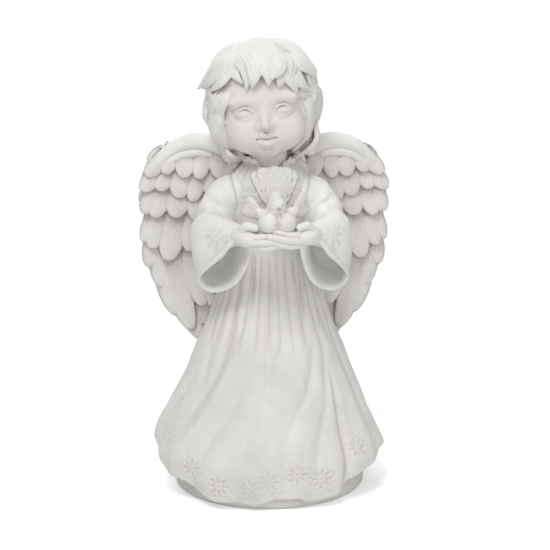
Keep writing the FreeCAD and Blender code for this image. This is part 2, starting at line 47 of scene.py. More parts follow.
def feed(tree, socket, value):
    """Sets a socket to a number or a colour, or links it to another socket."""
    if isinstance(value, bpy.types.NodeSocket):
        tree.links.new(value, socket)
    else:
        socket.default_value = (*value, 1) if isinstance(value, tuple) else value


def node(tree, kind, **inputs):
    made = tree.nodes.new(kind)
    for name, value in inputs.items():
        feed(tree, made.inputs[name.replace("_", " ")], value)
    return made


def noise(tree, place, scale, detail, roughness=0.5):
    made = node(tree, "ShaderNodeTexNoise", Vector=place, Scale=scale, Detail=detail, Roughness=roughness)
    return made.outputs["Fac"]


def ranged(tree, value, low, high, to_low=0.0, to_high=1.0):
    made = node(tree, "ShaderNodeMapRange", Value=value, From_Min=low, From_Max=high)
    made.inputs["To Min"].default_value, made.inputs["To Max"].default_value = to_low, to_high
    return made.outputs["Result"]


def painted(tree, layer):
    """The value that a mesh holds at each point under the name of the layer."""
    made = tree.nodes.new("ShaderNodeAttribute")
    made.attribute_name = layer
    return made.outputs["Fac"]


def mixed(tree, factor, first, second):
    made = tree.nodes.new("ShaderNodeMix")
    made.data_type = "RGBA"
    for socket, value in ((0, factor), (6, first), (7, second)):
        feed(tree, made.inputs[socket], value)
    return made.outputs[2]


def arithmetic(tree, operation, *values, clamp=False):
    made = tree.nodes.new("ShaderNodeMath")
    made.operation = operation
    made.use_clamp = clamp
    for socket, value in zip(made.inputs, values):
        feed(tree, socket, value)
    return made.outputs[0]


def relief(tree, surface, height, strength, distance):
    bump = node(tree, "ShaderNodeBump", Height=height, Strength=strength, Distance=distance)
    tree.links.new(bump.outputs["Normal"], surface.inputs["Normal"])


def new_material(name):
    """A material with its node tree, its shader and the object coordinates."""
    material = bpy.data.materials.new(name)
    material.use_nodes = True
    tree = material.node_tree
    place = tree.nodes.new("ShaderNodeTexCoord").outputs["Object"]
    return material, tree, tree.nodes["Principled BSDF"], place


def resin(name, colour, barbs=False, grain=0.12, mottle=0.05):
    """Matt cast resin: faint mottling, fine grain, and brown painted shade held by the hollows."""
    # The brown colour here is painted shade. It is mixed in wherever the mesh's shade layer asks for it:
    # hollows, edges and under other parts.
    painted_shade, rough = (0.30, 0.25, 0.20), 0.62
    material, tree, surface, place = new_material(name)
    broad = ranged(tree, noise(tree, place, 38.0, 4.0, 0.6), 0.35, 0.65)
    fine = noise(tree, place, 900.0, 3.0, 0.65)
    speck = noise(tree, place, 260.0, 5.0, 0.7)
    tint = mixed(tree, broad, tuple(c * (1 - 2.4 * mottle) for c in colour), colour)
    patchy = arithmetic(tree, "MULTIPLY_ADD", speck, 1.3, 0.25)
    tint = mixed(tree, arithmetic(tree, "MULTIPLY", painted(tree, "painted_shade"), patchy, clamp=True), tint, painted_shade)
    uneven = arithmetic(tree, "MULTIPLY", speck, 1.5 * grain)
    height = arithmetic(tree, "ADD", arithmetic(tree, "MULTIPLY", fine, grain), uneven)
    if barbs:
        # Painted shade: the troughs of the barb ripple are tinted towards the brown shade colour.
        wave = arithmetic(tree, "SINE", painted(tree, "barb"))
        height = arithmetic(tree, "ADD", height, arithmetic(tree, "MULTIPLY", wave, 0.2))
        low = arithmetic(tree, "MULTIPLY_ADD", wave, -0.5, 0.05)
        barb_groove_shade = arithmetic(tree, "MULTIPLY", low, speck, clamp=True)
        tint = mixed(tree, barb_groove_shade, tint, tuple(0.45 * c + 0.55 * w for c, w in zip(colour, painted_shade)))
    relief(tree, surface, height, 0.55, 0.0006)
    feed(tree, surface.inputs["Base Color"], tint)
    feed(tree, surface.inputs["Roughness"], ranged(tree, speck, 0.3, 0.7, rough - 0.08, rough + 0.1))
    surface.inputs["Specular IOR Level"].default_value = 0.35
    return material


ROBE = resin("robe_resin", (0.79, 0.777, 0.752))
SKIN = resin("face_resin", (0.745, 0.72, 0.69), mottle=0.03, grain=0.07)
HAIR = resin("hair_resin", (0.80, 0.785, 0.755))
SLEEVE = resin("sleeve_resin", (0.83, 0.82, 0.80))
PLUME = resin("feather_resin", (0.84, 0.825, 0.80), barbs=True)
BIRD = resin("dove_resin", (0.78, 0.765, 0.735), barbs=True)
PLUG = resin("plug_cast", (0.74, 0.725, 0.69), grain=0.2)


def fibrous(name, dark, pale, rough, scale, detail, roughness=0.5, metallic=0.0, bump=0.0):
    """Pressed felt or drawn wire: fine noise between two tones."""
    material, tree, surface, place = new_material(name)
    fibres = noise(tree, place, scale, detail, roughness)
    feed(tree, surface.inputs["Base Color"], mixed(tree, fibres, dark, pale))
    if bump:
        relief(tree, surface, fibres, bump, 0.0005)
    surface.inputs["Metallic"].default_value = metallic
    surface.inputs["Roughness"].default_value = rough
    return material


FELT = fibrous("pressed_felt", (0.66, 0.65, 0.62), (0.86, 0.85, 0.82), 0.95, 1400.0, 6.0, 0.8, bump=0.8)
STEEL = fibrous("pin_wire", (0.5, 0.5, 0.51), (0.68, 0.68, 0.69), 0.35, 600.0, 4.0, metallic=1.0)


# ---- meshes


def piece(name, points, faces, material, painted_shade=None, barb=None):
    """A mesh object from points in millimetres, riding on the figure."""
    mesh = bpy.data.meshes.new(name)
    points = np.asarray(points, float)
    mesh.from_pydata((points * MM).tolist(), [], [list(map(int, face)) for face in faces])
    mesh.update()
    # The first layer is painted shade, 0 to 1. The resin material mixes it in as a dark brown.
    for label, values in (("painted_shade", painted_shade), ("barb", barb)):
        if values is not None:
            layer = mesh.attributes.new(label, "FLOAT", "POINT")
            layer.data.foreach_set("value", np.asarray(values, np.float32))
    mesh.shade_smooth()
    mesh.materials.append(material)
    made = bpy.data.objects.new(name, mesh)
    scene.collection.objects.link(made)
    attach(made, "root")
    return made


def sheet_faces(rows, columns, start=0, flip=False):
    """Quads of a grid of points, row by row, closed round each row."""
    r, c = np.meshgrid(np.arange(rows - 1), np.arange(columns), indexing="ij")
    r, c = r.ravel(), c.ravel()
    d = (c + 1) % columns
    low, high = r * columns, (r + 1) * columns
    quads = np.stack([low + c, low + d, high + d, high + c], 1) + start
    return quads[:, ::-1] if flip else quads


def sine(degrees):
    return np.sin(np.radians(degrees))


def cosine(degrees):
    return np.cos(np.radians(degrees))


def length_of(x, y, z):
    return np.sqrt(x**2 + y**2 + z**2)


def smoothstep(x, low, high):
    t = np.clip((x - low) / (high - low), 0, 1)
    return t * t * (3 - 2 * t)


def bell(x, width):
    """1 in the middle of a smooth bump, near 0 from twice its width."""
    return np.exp(-((x / width) ** 2))


def spline(points, per=6):
    """Points on a smooth curve through the given ones."""
    p = np.asarray(points, float)
    p = np.vstack([2 * p[0] - p[1], p, 2 * p[-1] - p[-2]])
    out = []
    for i in range(1, len(p) - 2):
        for t in np.arange(per) / per:
            a, b, c, d = p[i - 1], p[i], p[i + 1], p[i + 2]
            bend, twist = 2 * a - 5 * b + 4 * c - d, 3 * b - a - 3 * c + d
            out.append(0.5 * (2 * b + (c - a) * t + bend * t**2 + twist * t**3))
    out.append(p[-2])
    return np.array(out)


class Clay:
    """A block of modelling clay: a signed distance field in millimetres that is added to and carved."""

    def __init__(self, low, high, step):
        self.low, self.step = np.array(low, float), step
        self.axes = [np.arange(a, b + step, step) for a, b in zip(low, high)]
        self.field = np.full([len(a) for a in self.axes], 9.0, np.float32)

    def window(self, low, high):
        cut = []
        for axis, a, b in zip(self.axes, low, high):
            i, j = np.searchsorted(axis, (a, b))
            cut.append(slice(max(i - 1, 0), min(j + 1, len(axis))))
        grids = [axis[c] for axis, c in zip(self.axes, cut)]
        return tuple(cut), np.meshgrid(*grids, indexing="ij", sparse=True)

    def join(self, cut, distance, soft, carve=False):
        held = self.field[cut]
        if held.size == 0:
            return
        sign = -1.0 if carve else 1.0
        held = sign * held
        h = np.clip(0.5 + 0.5 * (held - distance) / soft, 0, 1)
        self.field[cut] = sign * (held * (1 - h) + distance * h - soft * h * (1 - h))

    def blob(self, at, radii, soft=1.0, carve=False):
        radii = np.broadcast_to(np.asarray(radii, float), 3)
        reach = max(radii) + 2 * soft + 2
        at = np.asarray(at, float)
        cut, (x, y, z) = self.window(at - reach, at + reach)
        x, y, z = x - at[0], y - at[1], z - at[2]
        a = length_of(x / radii[0], y / radii[1], z / radii[2])
        b = length_of(x / radii[0] ** 2, y / radii[1] ** 2, z / radii[2] ** 2)
        self.join(cut, a * (a - 1) / np.maximum(b, 1e-6), soft, carve)

    def strand(self, points, radii, soft=0.6, carve=False, per=5):
        path = spline(points, per) if len(points) > 2 else np.asarray(points, float)
        radii = np.atleast_1d(radii)
        radii = np.interp(np.linspace(0, 1, len(path)), np.linspace(0, 1, len(radii)), radii)
        reach = radii.max() + 2 * soft + 1.2
        cut, (x, y, z) = self.window(path.min(0) - reach, path.max(0) + reach)
        shape = [c.stop - c.start for c in cut]
        if min(shape) <= 0:
            return
        best = np.full(shape, 99.0, np.float32)
        for a, b, ra, rb in zip(path[:-1], path[1:], radii[:-1], radii[1:]):
            low, high = np.minimum(a, b) - reach, np.maximum(a, b) + reach
            near, _ = self.window(low, high)
            local = tuple(slice(max(i.start - c.start, 0), max(min(i.stop, c.stop) - c.start, 0))
                          for i, c in zip(near, cut))
            u, v, w = x[local[0]], y[:, local[1]], z[:, :, local[2]]
            ab = b - a
            t = ((u - a[0]) * ab[0] + (v - a[1]) * ab[1] + (w - a[2]) * ab[2]) / max(ab @ ab, 1e-9)
            t = np.clip(t, 0, 1)
            d = length_of(u - a[0] - t * ab[0], v - a[1] - t * ab[1], w - a[2] - t * ab[2])
            best[local] = np.minimum(best[local], d - (ra + (rb - ra) * t))
        self.join(cut, best, soft, carve)

    def mesh(self, rounds, share):
        """Points, relaxed over some rounds, quads and how hollow the surface is at each point."""
        f = self.field
        for axis in range(3):
            edge = [slice(None)] * 3
            for end in (0, -1):
                edge[axis] = end
                f[tuple(edge)] = np.maximum(f[tuple(edge)], 0.2)
        inside = f < 0
        n, m, o = (size - 1 for size in f.shape)
        corners = [(i, j, k) for i in (0, 1) for j in (0, 1) for k in (0, 1)]
        total = sum(inside[i : i + n, j : j + m, k : k + o].astype(np.int8) for i, j, k in corners)
        cells = np.argwhere((total > 0) & (total < 8))
        label = np.full(total.shape, -1, np.int32)
        label[tuple(cells.T)] = np.arange(len(cells))
        value = {c: f[cells[:, 0] + c[0], cells[:, 1] + c[1], cells[:, 2] + c[2]] for c in corners}
        place, count = np.zeros((len(cells), 3)), np.zeros(len(cells))
        for a in corners:
            for axis in range(3):
                if a[axis]:
                    continue
                b = tuple(1 if i == axis else a[i] for i in range(3))
                crossed = (value[a] < 0) != (value[b] < 0)
                t = value[a][crossed] / (value[a][crossed] - value[b][crossed])
                spot = np.tile(np.array(a, float), (crossed.sum(), 1))
                spot[:, axis] = t
                place[crossed] += spot
                count[crossed] += 1
        index = cells + place / count[:, None]
        quads = []
        for axis in range(3):
            low = [slice(1, -1)] * 3
            low[axis] = slice(0, -1)
            high = list(low)
            high[axis] = slice(1, None)
            first, second = inside[tuple(low)], inside[tuple(high)]
            at = np.argwhere(first != second)
            solid = first[tuple(at.T)]
            at = at + [0 if i == axis else 1 for i in range(3)]
            u, v = [(1, 2), (2, 0), (0, 1)][axis]
            step_u, step_v = np.eye(3, dtype=int)[u], np.eye(3, dtype=int)[v]
            turns = ((1, 1), (0, 1), (0, 0), (1, 0))
            ring = [label[tuple((at - a * step_u - b * step_v).T)] for a, b in turns]
            ring = np.stack(ring, 1)
            quads.append(ring[solid])
            quads.append(ring[~solid][:, ::-1])
        quads = np.vstack(quads)
        quads = quads[(quads >= 0).all(1)]
        points = relax(self.low + index * self.step, quads, rounds, share)
        return points, quads, self.hollowness(index)

    def hollowness(self, index):
        """How far the surface lies below its surroundings, 0 to 1, at places given in cells."""
        reach = 2
        f = np.clip(self.field, -3, 3)
        broad = f.copy()
        for axis in range(3):
            broad = sum(np.roll(broad, s, axis) for s in range(-reach, reach + 1)) / (2 * reach + 1)
        at = np.clip(np.rint(index).astype(int), 0, np.array(f.shape) - 1)
        bent = (broad - f)[tuple(at.T)]
        return np.clip(-bent / self.step * 1.6, 0, 1)


def relax(points, quads, rounds, share):
    """Evens the points of a clay mesh a little."""
    for _ in range(rounds):
        total, count = np.zeros_like(points), np.zeros(len(points))
        for a, b in ((0, 1), (1, 0), (1, 2), (2, 1), (2, 3), (3, 2), (3, 0), (0, 3)):
            np.add.at(total, quads[:, a], points[quads[:, b]])
            np.add.at(count, quads[:, a], 1)
        points = points * (1 - share) + share * total / np.maximum(count, 1)[:, None]
    return points


# ---- robe

ROBE_FORM = (  # height, half width, half depth
    (2, 62, 51.5), (12, 63.5, 51.8), (22, 64, 51.3), (30, 60, 49.5), (40, 55, 46.5), (52, 50.2, 43),
    (64, 45, 39.5), (76, 40.5, 36), (90, 34, 31.5), (104, 29, 27), (110, 27, 25), (120, 24.5, 22.5),
    (130, 22.5, 21), (140, 21, 20), (150, 21, 20), (160, 21.5, 19), (168, 20, 17),
    (172, 17, 14.5), (176, 12.5, 12),
)
HEM = (  # degrees from the front towards the angel's left, height of the hem
    (-180, 12), (-165, 15), (-150, 9), (-135, 14), (-120, 24), (-98, 30.8), (-84, 29), (-71, 25.8),
    (-69, 19), (-58, 14.4), (-49, 12), (-42, 8), (-32, 4.6), (-21, 5), (-11, 3.4), (-2, 7), (10, 7.7),
    (16, 4.3), (25, 5.4), (36, 8), (38, 13), (46, 15.4), (67, 22), (85, 22), (100, 24), (120, 19),
    (135, 12), (150, 14), (165, 8.5), (180, 12),
)
FOLDS = (  # path of (degrees, height), half width in degrees, height of the fold above the surface
    (((-39, 93), (-41, 83), (-42, 72), (-46, 61), (-53, 49)), 3.2, -1.5),
    (((-24, 94), (-32, 77), (-38, 63), (-45, 47), (-55, 32), (-58, 16)), 5, 1.7),
    (((-19, 67), (-26, 50), (-35, 35), (-44, 14)), 5, -1.8),
    (((-9.5, 68), (-12, 51), (-16, 35), (-18, 20), (-20, 6)), 3.6, -1.3),
    (((-6, 87), (-5, 71), (-5.5, 62)), 2.6, -0.9),
    (((8.6, 86), (1, 77), (-4, 64), (-5, 50)), 3.4, -1.3),
    (((15, 54), (7, 41), (3, 33), (0, 12)), 3.6, -1.3),
    (((35, 84), (26, 68), (17, 53)), 3.6, -1.4),
    (((45, 82), (35, 60), (30, 45)), 3.4, -1.3),
    (((31, 50), (23, 35), (19, 23), (17, 8)), 3.6, -1.3),
    (((44, 62), (41, 50), (39, 37), (36.5, 15), (36, 8)), 2.2, -3),
    (((33, 60), (32, 37), (30, 10)), 5, 1.4),
    (((-62, 84), (-57, 76), (-55, 66)), 3.2, -1.2),
    (((-68, 62), (-73, 49), (-76, 34)), 3.6, -1.5),
    (((-84, 80), (-88, 60), (-92, 36)), 5, -1.6),
    (((62, 88), (66, 62), (70, 28)), 5, -1.7),
    (((55, 70), (56, 45), (56, 18)), 5, 1.3),
    (((82, 80), (86, 58), (90, 24)), 5, -1.5),
    (((-43, 112), (-42, 101), (-40, 91)), 3.2, -0.9),
    (((-7, 117), (-7, 107), (-5, 86)), 3.2, -0.9),
    (((16, 116), (14, 104), (7, 90)), 3.2, -0.9),
    (((36, 115), (33, 104), (30, 92)), 3.2, -0.9),
    (((60, 112), (55, 100), (46, 88)), 3.6, -0.9),
    (((-22, 116), (-23, 100), (-24, 92)), 3, -0.7),
    (((-25, 124), (-25, 116)), 2, -2.6),
    (((37, 118), (34, 104)), 2, -2.8),
)
BACK_FOLDS = tuple(
    (((side * (112 + 22 * i) - 3, 105), (side * (110 + 22 * i), 70), (side * (108 + 23 * i), 12)), 6.0, depth)
    for side in (-1, 1)
    for i, depth in enumerate((-1.9, -2.4, -2.2))
) + ((((180, 120), (179, 70), (181, 10)), 7.0, -2.4),)
FLOWERS = (  # degrees, height, depth
    (-65, 34, 0.7), (-45, 20, 1), (-29, 13, 1), (-14, 12.4, 0.7), (-4.5, 16, 0.7), (9.4, 20, 1),
    (22, 16, 1), (46, 28, 1), (70, 34, 0.9), (92, 30, 0.9), (118, 32, 0.9), (143, 24, 0.9),
    (168, 22, 0.9), (-168, 22, 0.9), (-143, 24, 0.9), (-116, 33, 0.9), (-90, 40, 0.8),
)
NECK_HEIGHT, NECK_DIP = 178.5, 9
FLOOR_HALF_WIDTH, FLOOR_HALF_DEPTH = 51.6, 47.6  # of the flat foot under the hem


def robe_radii(z):
    """Half width and half depth of the robe at heights z, with the corners of ROBE_FORM rounded."""
    levels = np.array(ROBE_FORM, float)
    fine = np.linspace(0, 178, 357)
    out = []
    for column in (1, 2):
        values = np.interp(fine, levels[:, 0], levels[:, column])
        kernel = np.hanning(15)
        padded = np.pad(values, 7, mode="edge")
        out.append(np.interp(z, fine, np.convolve(padded, kernel / kernel.sum(), "valid")))
    return out


def turned(theta, centre):
    """Degrees from centre, between -180 and 180."""
    return (theta - centre + 180) % 360 - 180


def fold_height(theta, z):
    """How far the folds stand out at points on the robe, and how hollow they are."""
    total, hollow = np.zeros_like(z), np.zeros_like(z)
    for path, width, height in FOLDS + BACK_FOLDS:
        path = np.array(path, float)
        order = np.argsort(path[:, 1])
        centre = np.interp(z, path[order, 1], path[order, 0])
        top, bottom = path[:, 1].max(), path[:, 1].min()
        fade = 1 - smoothstep(z, top - 8, top + 12)
        if bottom > 24:
            fade = fade * smoothstep(z, bottom - 14, bottom + 6)
        across = turned(theta, centre) / (width * (1 + 0.5 * smoothstep(z, 95, 130)))
        shape = np.exp(-np.abs(across) ** 1.7) * fade
        total += height * shape
        if height < 0:
            hollow = np.maximum(hollow, np.clip(-height / 9, 0, 1) * np.exp(-(across * 2.0) ** 2) * fade)
    return total, hollow


def petals(u, v, thin, heart, start, end):
    """Eight petals round a seed, 0 to 1, at places u and v from the flower's middle."""
    r, angle = np.hypot(u, v), np.arctan2(v, u)
    off = (angle + math.pi / 8) % (math.pi / 4) - math.pi / 8
    petal = bell(r * np.sin(off), thin) * smoothstep(r, *start) * (1 - smoothstep(r, *end))
    return np.maximum(petal, bell(r, heart))


def flowers(theta, z, radius):
    """Depth of the engraved flowers at points on the robe."""
    depth = np.zeros_like(z)
    for centre, level, strength in FLOWERS:
        u = np.radians(turned(theta, centre)) * radius
        v = z - level
        near = (np.abs(u) < 8) & (np.abs(v) < 8)
        u, v = u[near], v[near]
        bloom = petals(u, v, 0.62, 0.75, (1.5, 2.3), (4.9, 5.6))
        r, angle = np.hypot(u, v), np.arctan2(v, u)
        away = (angle % (math.pi / 4)) - math.pi / 8
        dot = np.exp(-(((r - 6.3) ** 2 + (r * np.sin(away)) ** 2) / 0.4))
        depth[near] = np.maximum(depth[near], strength * np.maximum(bloom, 0.8 * dot))
    return depth


def make_robe():
    """The robe from foot to collar: rows of points round the body, the engraving and the hollows."""
    front = np.linspace(-100, 100, 330)
    back = np.linspace(100, 260, 92)[1:-1]
    theta = np.concatenate([front, back])
    theta = turned(theta, 0)
    share = np.concatenate([np.linspace(0, 0.34, 92), np.linspace(0.34, 1, 110)[1:]])
    hem = np.interp(theta, *np.array(HEM, float).T)
    kernel = np.array([1, 2, 1]) / 4
    hem = np.convolve(np.pad(hem, 1, mode="wrap"), kernel, "valid")
    neckline = NECK_HEIGHT - NECK_DIP * bell(theta, 24) + 0.7 * sine(theta * 17)
    z = hem[None] + share[:, None] * (neckline - hem)[None]
    th = np.broadcast_to(theta, z.shape)
    a, b = robe_radii(z)
    out, hollow = fold_height(th, z)
    low = 1 - smoothstep(z, 0, 60)
    out = out + low * 0.5 * sine(th * 9) - 0.8 * low
    out += 5.5 * np.exp(-((turned(th, -80) / 24) ** 2) - ((z - 38) / 15) ** 2)
    mean = (a + b) / 2
    cut = flowers(th, z, mean)
    front_face = 1 - smoothstep(np.abs(th), 50, 75)
    for level in (162.5, 159.0, 155.5):
        line = bell(z - level - 0.5 * cosine(th * 20), 0.5) * front_face
        out -= 0.45 * line
        hollow = np.maximum(hollow, 0.3 * line)
    gather = cosine(th * 24 + 40 * sine(3 * th))
    bodice = smoothstep(z, 118, 140) * (1 - smoothstep(z, 153, 156))
    out += 0.28 * gather * bodice + 0.35 * gather * smoothstep(z, 163, 166)
    pleat = cosine(th * 31 + 60 * sine(5 * th))
    reach = smoothstep(z, 68, 92) * (1 - smoothstep(z, 124, 134)) * (1 - smoothstep(np.abs(th), 60, 90))
    out += 0.4 * pleat * reach
    hollow = np.maximum(hollow, 0.34 * reach * smoothstep(-pleat, 0.6, 1.0))
    collar = bell(z - neckline + 3.4, 0.7)
    out += (1.6 + 0.7 * sine(th * 17 + 50)) * smoothstep(z - neckline, -4, -0.5) - 0.5 * collar
    hollow = np.maximum(hollow, 0.5 * collar)
    out -= 0.55 * cut
    hollow = np.maximum(hollow, 0.42 * cut)
    rim = bell(z - hem[None] - 2.4, 0.45) * (z < 60)
    out -= 0.25 * rim
    s, c = sine(th), cosine(th)
    x, y = (a + out) * s, -(b + out) * c
    rows = [np.stack([x, y, z], 2)]
    # Painted shade: the hollows of the folds, bodice lines, pleats, collar and engraved flowers are darkened.
    painted_robe_shade = [hollow]
    edge, spin = rows[0][0, :, :2], np.stack([s[0], -c[0]], 1)
    foot, around = np.stack([FLOOR_HALF_WIDTH * s[0], -FLOOR_HALF_DEPTH * c[0]], 1), np.ones(len(theta))

    def course(flat, level, dark, at=0):
        """One more row of points, under the first row or above the last, with its painted shade."""
        rows.insert(at, np.concatenate([flat, (level * around)[:, None]], 1)[None])
        painted_robe_shade.insert(at, dark * around[None])

    # Painted shade on the rows turned in under the hem and onto the foot, darkest under the hem.
    for inset, rise, dark in ((0.35, -0.7, 0.05), (1.3, -1.1, 0.1), (2.6, -0.8, 0.4), (3.4, 0.8, 0.9)):
        course(edge - spin * inset, hem + rise, dark)
    course(0.5 * (edge - spin * 3.8 + foot), hem + 3.0, 1.0)
    course(foot, np.maximum(hem + 2.0, 6.0), 1.0)
    for share, level, dark in ((1.0, 3.6, 0.12), (1.0, 1.7, 0.1), (0.993, 1.05, 0.1), (0.9, 1.02, 0.1)):
        course(share * foot, level, dark)
    top = rows[-1][-1, :, :2]
    # Painted shade on the rows turned in at the neck, inside the opening.
    for inset, drop, dark in ((0.7, -0.4, 0.0), (1.6, 0.2, 0.1), (2.4, 2.5, 0.4)):
        course(top * (1 - inset / 14.0), neckline - drop, dark, len(rows))
    course(top * 0.1, 173.0, 0.5, len(rows))
    grid = np.concatenate(rows)
    painted_robe_shade = np.concatenate(painted_robe_shade)
    # Painted shade: the robe below the bodice is darkened a little more than the chest.
    painted_robe_shade = np.maximum(painted_robe_shade, 0.1 * (1 - smoothstep(grid[:, :, 2], 112, 134)))
    n, m = grid.shape[:2]
    robe = piece("robe", grid.reshape(-1, 3), sheet_faces(n, m), ROBE, painted_shade=painted_robe_shade.ravel())
    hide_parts("robe_body")


# ---- sleeves

SLEEVE_FORM = (  # centre, outer point, inner point, front point, back point, each from the centre
    ((17, 0, 159), (1, 0, 11.5), (0, 0, -12), (0, -12.5, 0), (0, 11.5, 0)),
    ((24, -1, 156), (7, -1, 8), (-7, 0, -9), (-1, -12, 1), (-1, 11, -1)),
    ((28, -7, 146), (13, -3, 0), (-10, 2, -3), (-3, -11, 8), (3, 9, -12)),
    ((28, -20, 137), (10, -5, 5), (-9, 4, -8), (-5, -3, 14), (9, 6, -17)),
    ((25, -33, 130), (2.5, -5, 3), (-5.5, 2, -13.5), (-12, -11, 17), (14.5, 11, -13.5)),
)
CUFF_FLOWERS = ((0.86, 305, 0.9), (0.9, 235, 0.8), (0.88, 20, 0.9))


def make_sleeve(side, name, stands_for):
    """A bell sleeve from shoulder to cuff, turned in at the cuff and lined; side is 1 for the left."""
    form = np.array(SLEEVE_FORM, float)
    rows, around = 84, 132
    fine = spline(form.reshape(len(form), -1), 21)
    at = np.interp(np.linspace(0, 1, rows) ** 0.9, np.linspace(0, 1, len(fine)), np.arange(len(fine)))
    low = np.floor(at).astype(int).clip(0, len(fine) - 2)
    part = (at - low)[:, None]
    now = (fine[low] * (1 - part) + fine[low + 1] * part).reshape(rows, 5, 3)
    phi = 2 * np.pi * np.arange(around) / around
    c, s = np.cos(phi)[None, :, None], np.sin(phi)[None, :, None]
    centre = now[:, 0][:, None]
    ring = (np.maximum(c, 0) * now[:, 1][:, None] + np.maximum(-c, 0) * now[:, 2][:, None]
            + np.maximum(s, 0) * now[:, 3][:, None] + np.maximum(-s, 0) * now[:, 4][:, None])
    for _ in range(5):
        ring = (np.roll(ring, 1, 1) + 2 * ring + np.roll(ring, -1, 1)) / 4
    t = np.linspace(0, 1, rows)[:, None] ** 0.9
    deg = np.degrees(phi)[None]
    size = np.linalg.norm(ring, axis=2)
    bend = -1.5 * np.exp(-(((t - 0.46) / 0.035) ** 2) - (turned(deg, 10) / 45) ** 2)
    bend += -1.2 * np.exp(-(((t - 0.36 - 0.001 * turned(deg, 60)) / 0.03) ** 2) - (turned(deg, 70) / 50) ** 2)
    for depth, path, width, start, end in (
        (1.1, 330 - 60 * t, 12, (0.35, 0.6), (0.9, 1.0)), (0.9, 40 + 50 * t, 10, (0.3, 0.5), (0.8, 0.95)),
    ):
        bend += -depth * bell(turned(deg, path), width) * smoothstep(t, *start) * (1 - smoothstep(t, *end))
    # Painted shade in the sleeve's creases, the seam, the cuff flowers and the cuff band.
    painted_shade = np.clip(-bend / 6, 0, 0.3)
    seam = bell(t - 0.055, 0.012) * np.ones_like(deg)
    bend -= 0.5 * seam
    painted_shade = np.maximum(painted_shade, 0.55 * seam)
    for where, angle, strength in CUFF_FLOWERS:
        u = np.radians(turned(deg, angle)) * size
        v = (t - where) * 45
        mark = petals(u, v, 0.55, 0.7, (1.2, 1.9), (3.9, 4.5))
        bend -= 0.4 * strength * mark
        painted_shade = np.maximum(painted_shade, 0.3 * strength * mark)
    band = bell(t - 0.965, 0.009) * np.ones_like(deg)
    bend -= 0.25 * band
    painted_shade = np.maximum(painted_shade, 0.25 * band)
    outer = centre + ring * (1 + bend / np.maximum(size, 1))[:, :, None]
    first = outer[:1] * [0, 1, 1] + [14, 0, 0]
    way = (outer[-1] - outer[-4]).mean(0)
    way /= np.linalg.norm(way)
    inward = -ring / np.maximum(size, 1)[:, :, None]
    edge, across = outer[-1:], inward[-1:]
    lips = [edge + way * 0.5 + across * 0.6, edge + way * 0.55 + across * 1.5, edge + across * 2.2]
    steps = [rows - 4, rows - 7, rows - 11, rows - 16, rows - 21, rows - 26]
    inner = [outer[i : i + 1] + inward[i : i + 1] * (2.4 + 0.02 * (rows - i)) for i in steps]
    middle = centre[steps[-1]][None]
    close, end = (middle + (inner[-1] - middle) * share for share in (0.5, 0.02))
    grid = np.concatenate([first, outer] + lips + inner + [close, end])
    # Painted shade: a little on the shoulder row, growing deeper inside the turned-in cuff.
    shades = (0.0,) * 6 + (0.02, 0.04, 0.08, 0.12, 0.2)
    dark = [np.full((1, around), 0.2), painted_shade] + [np.full((1, around), shade) for shade in shades]
    dark = np.concatenate(dark)
    flat = grid.reshape(-1, 3) * [side, 1, 1]
    made = piece(name, flat, sheet_faces(*grid.shape[:2], flip=side > 0), SLEEVE, painted_shade=dark.ravel())
    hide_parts(stands_for)


# ---- head

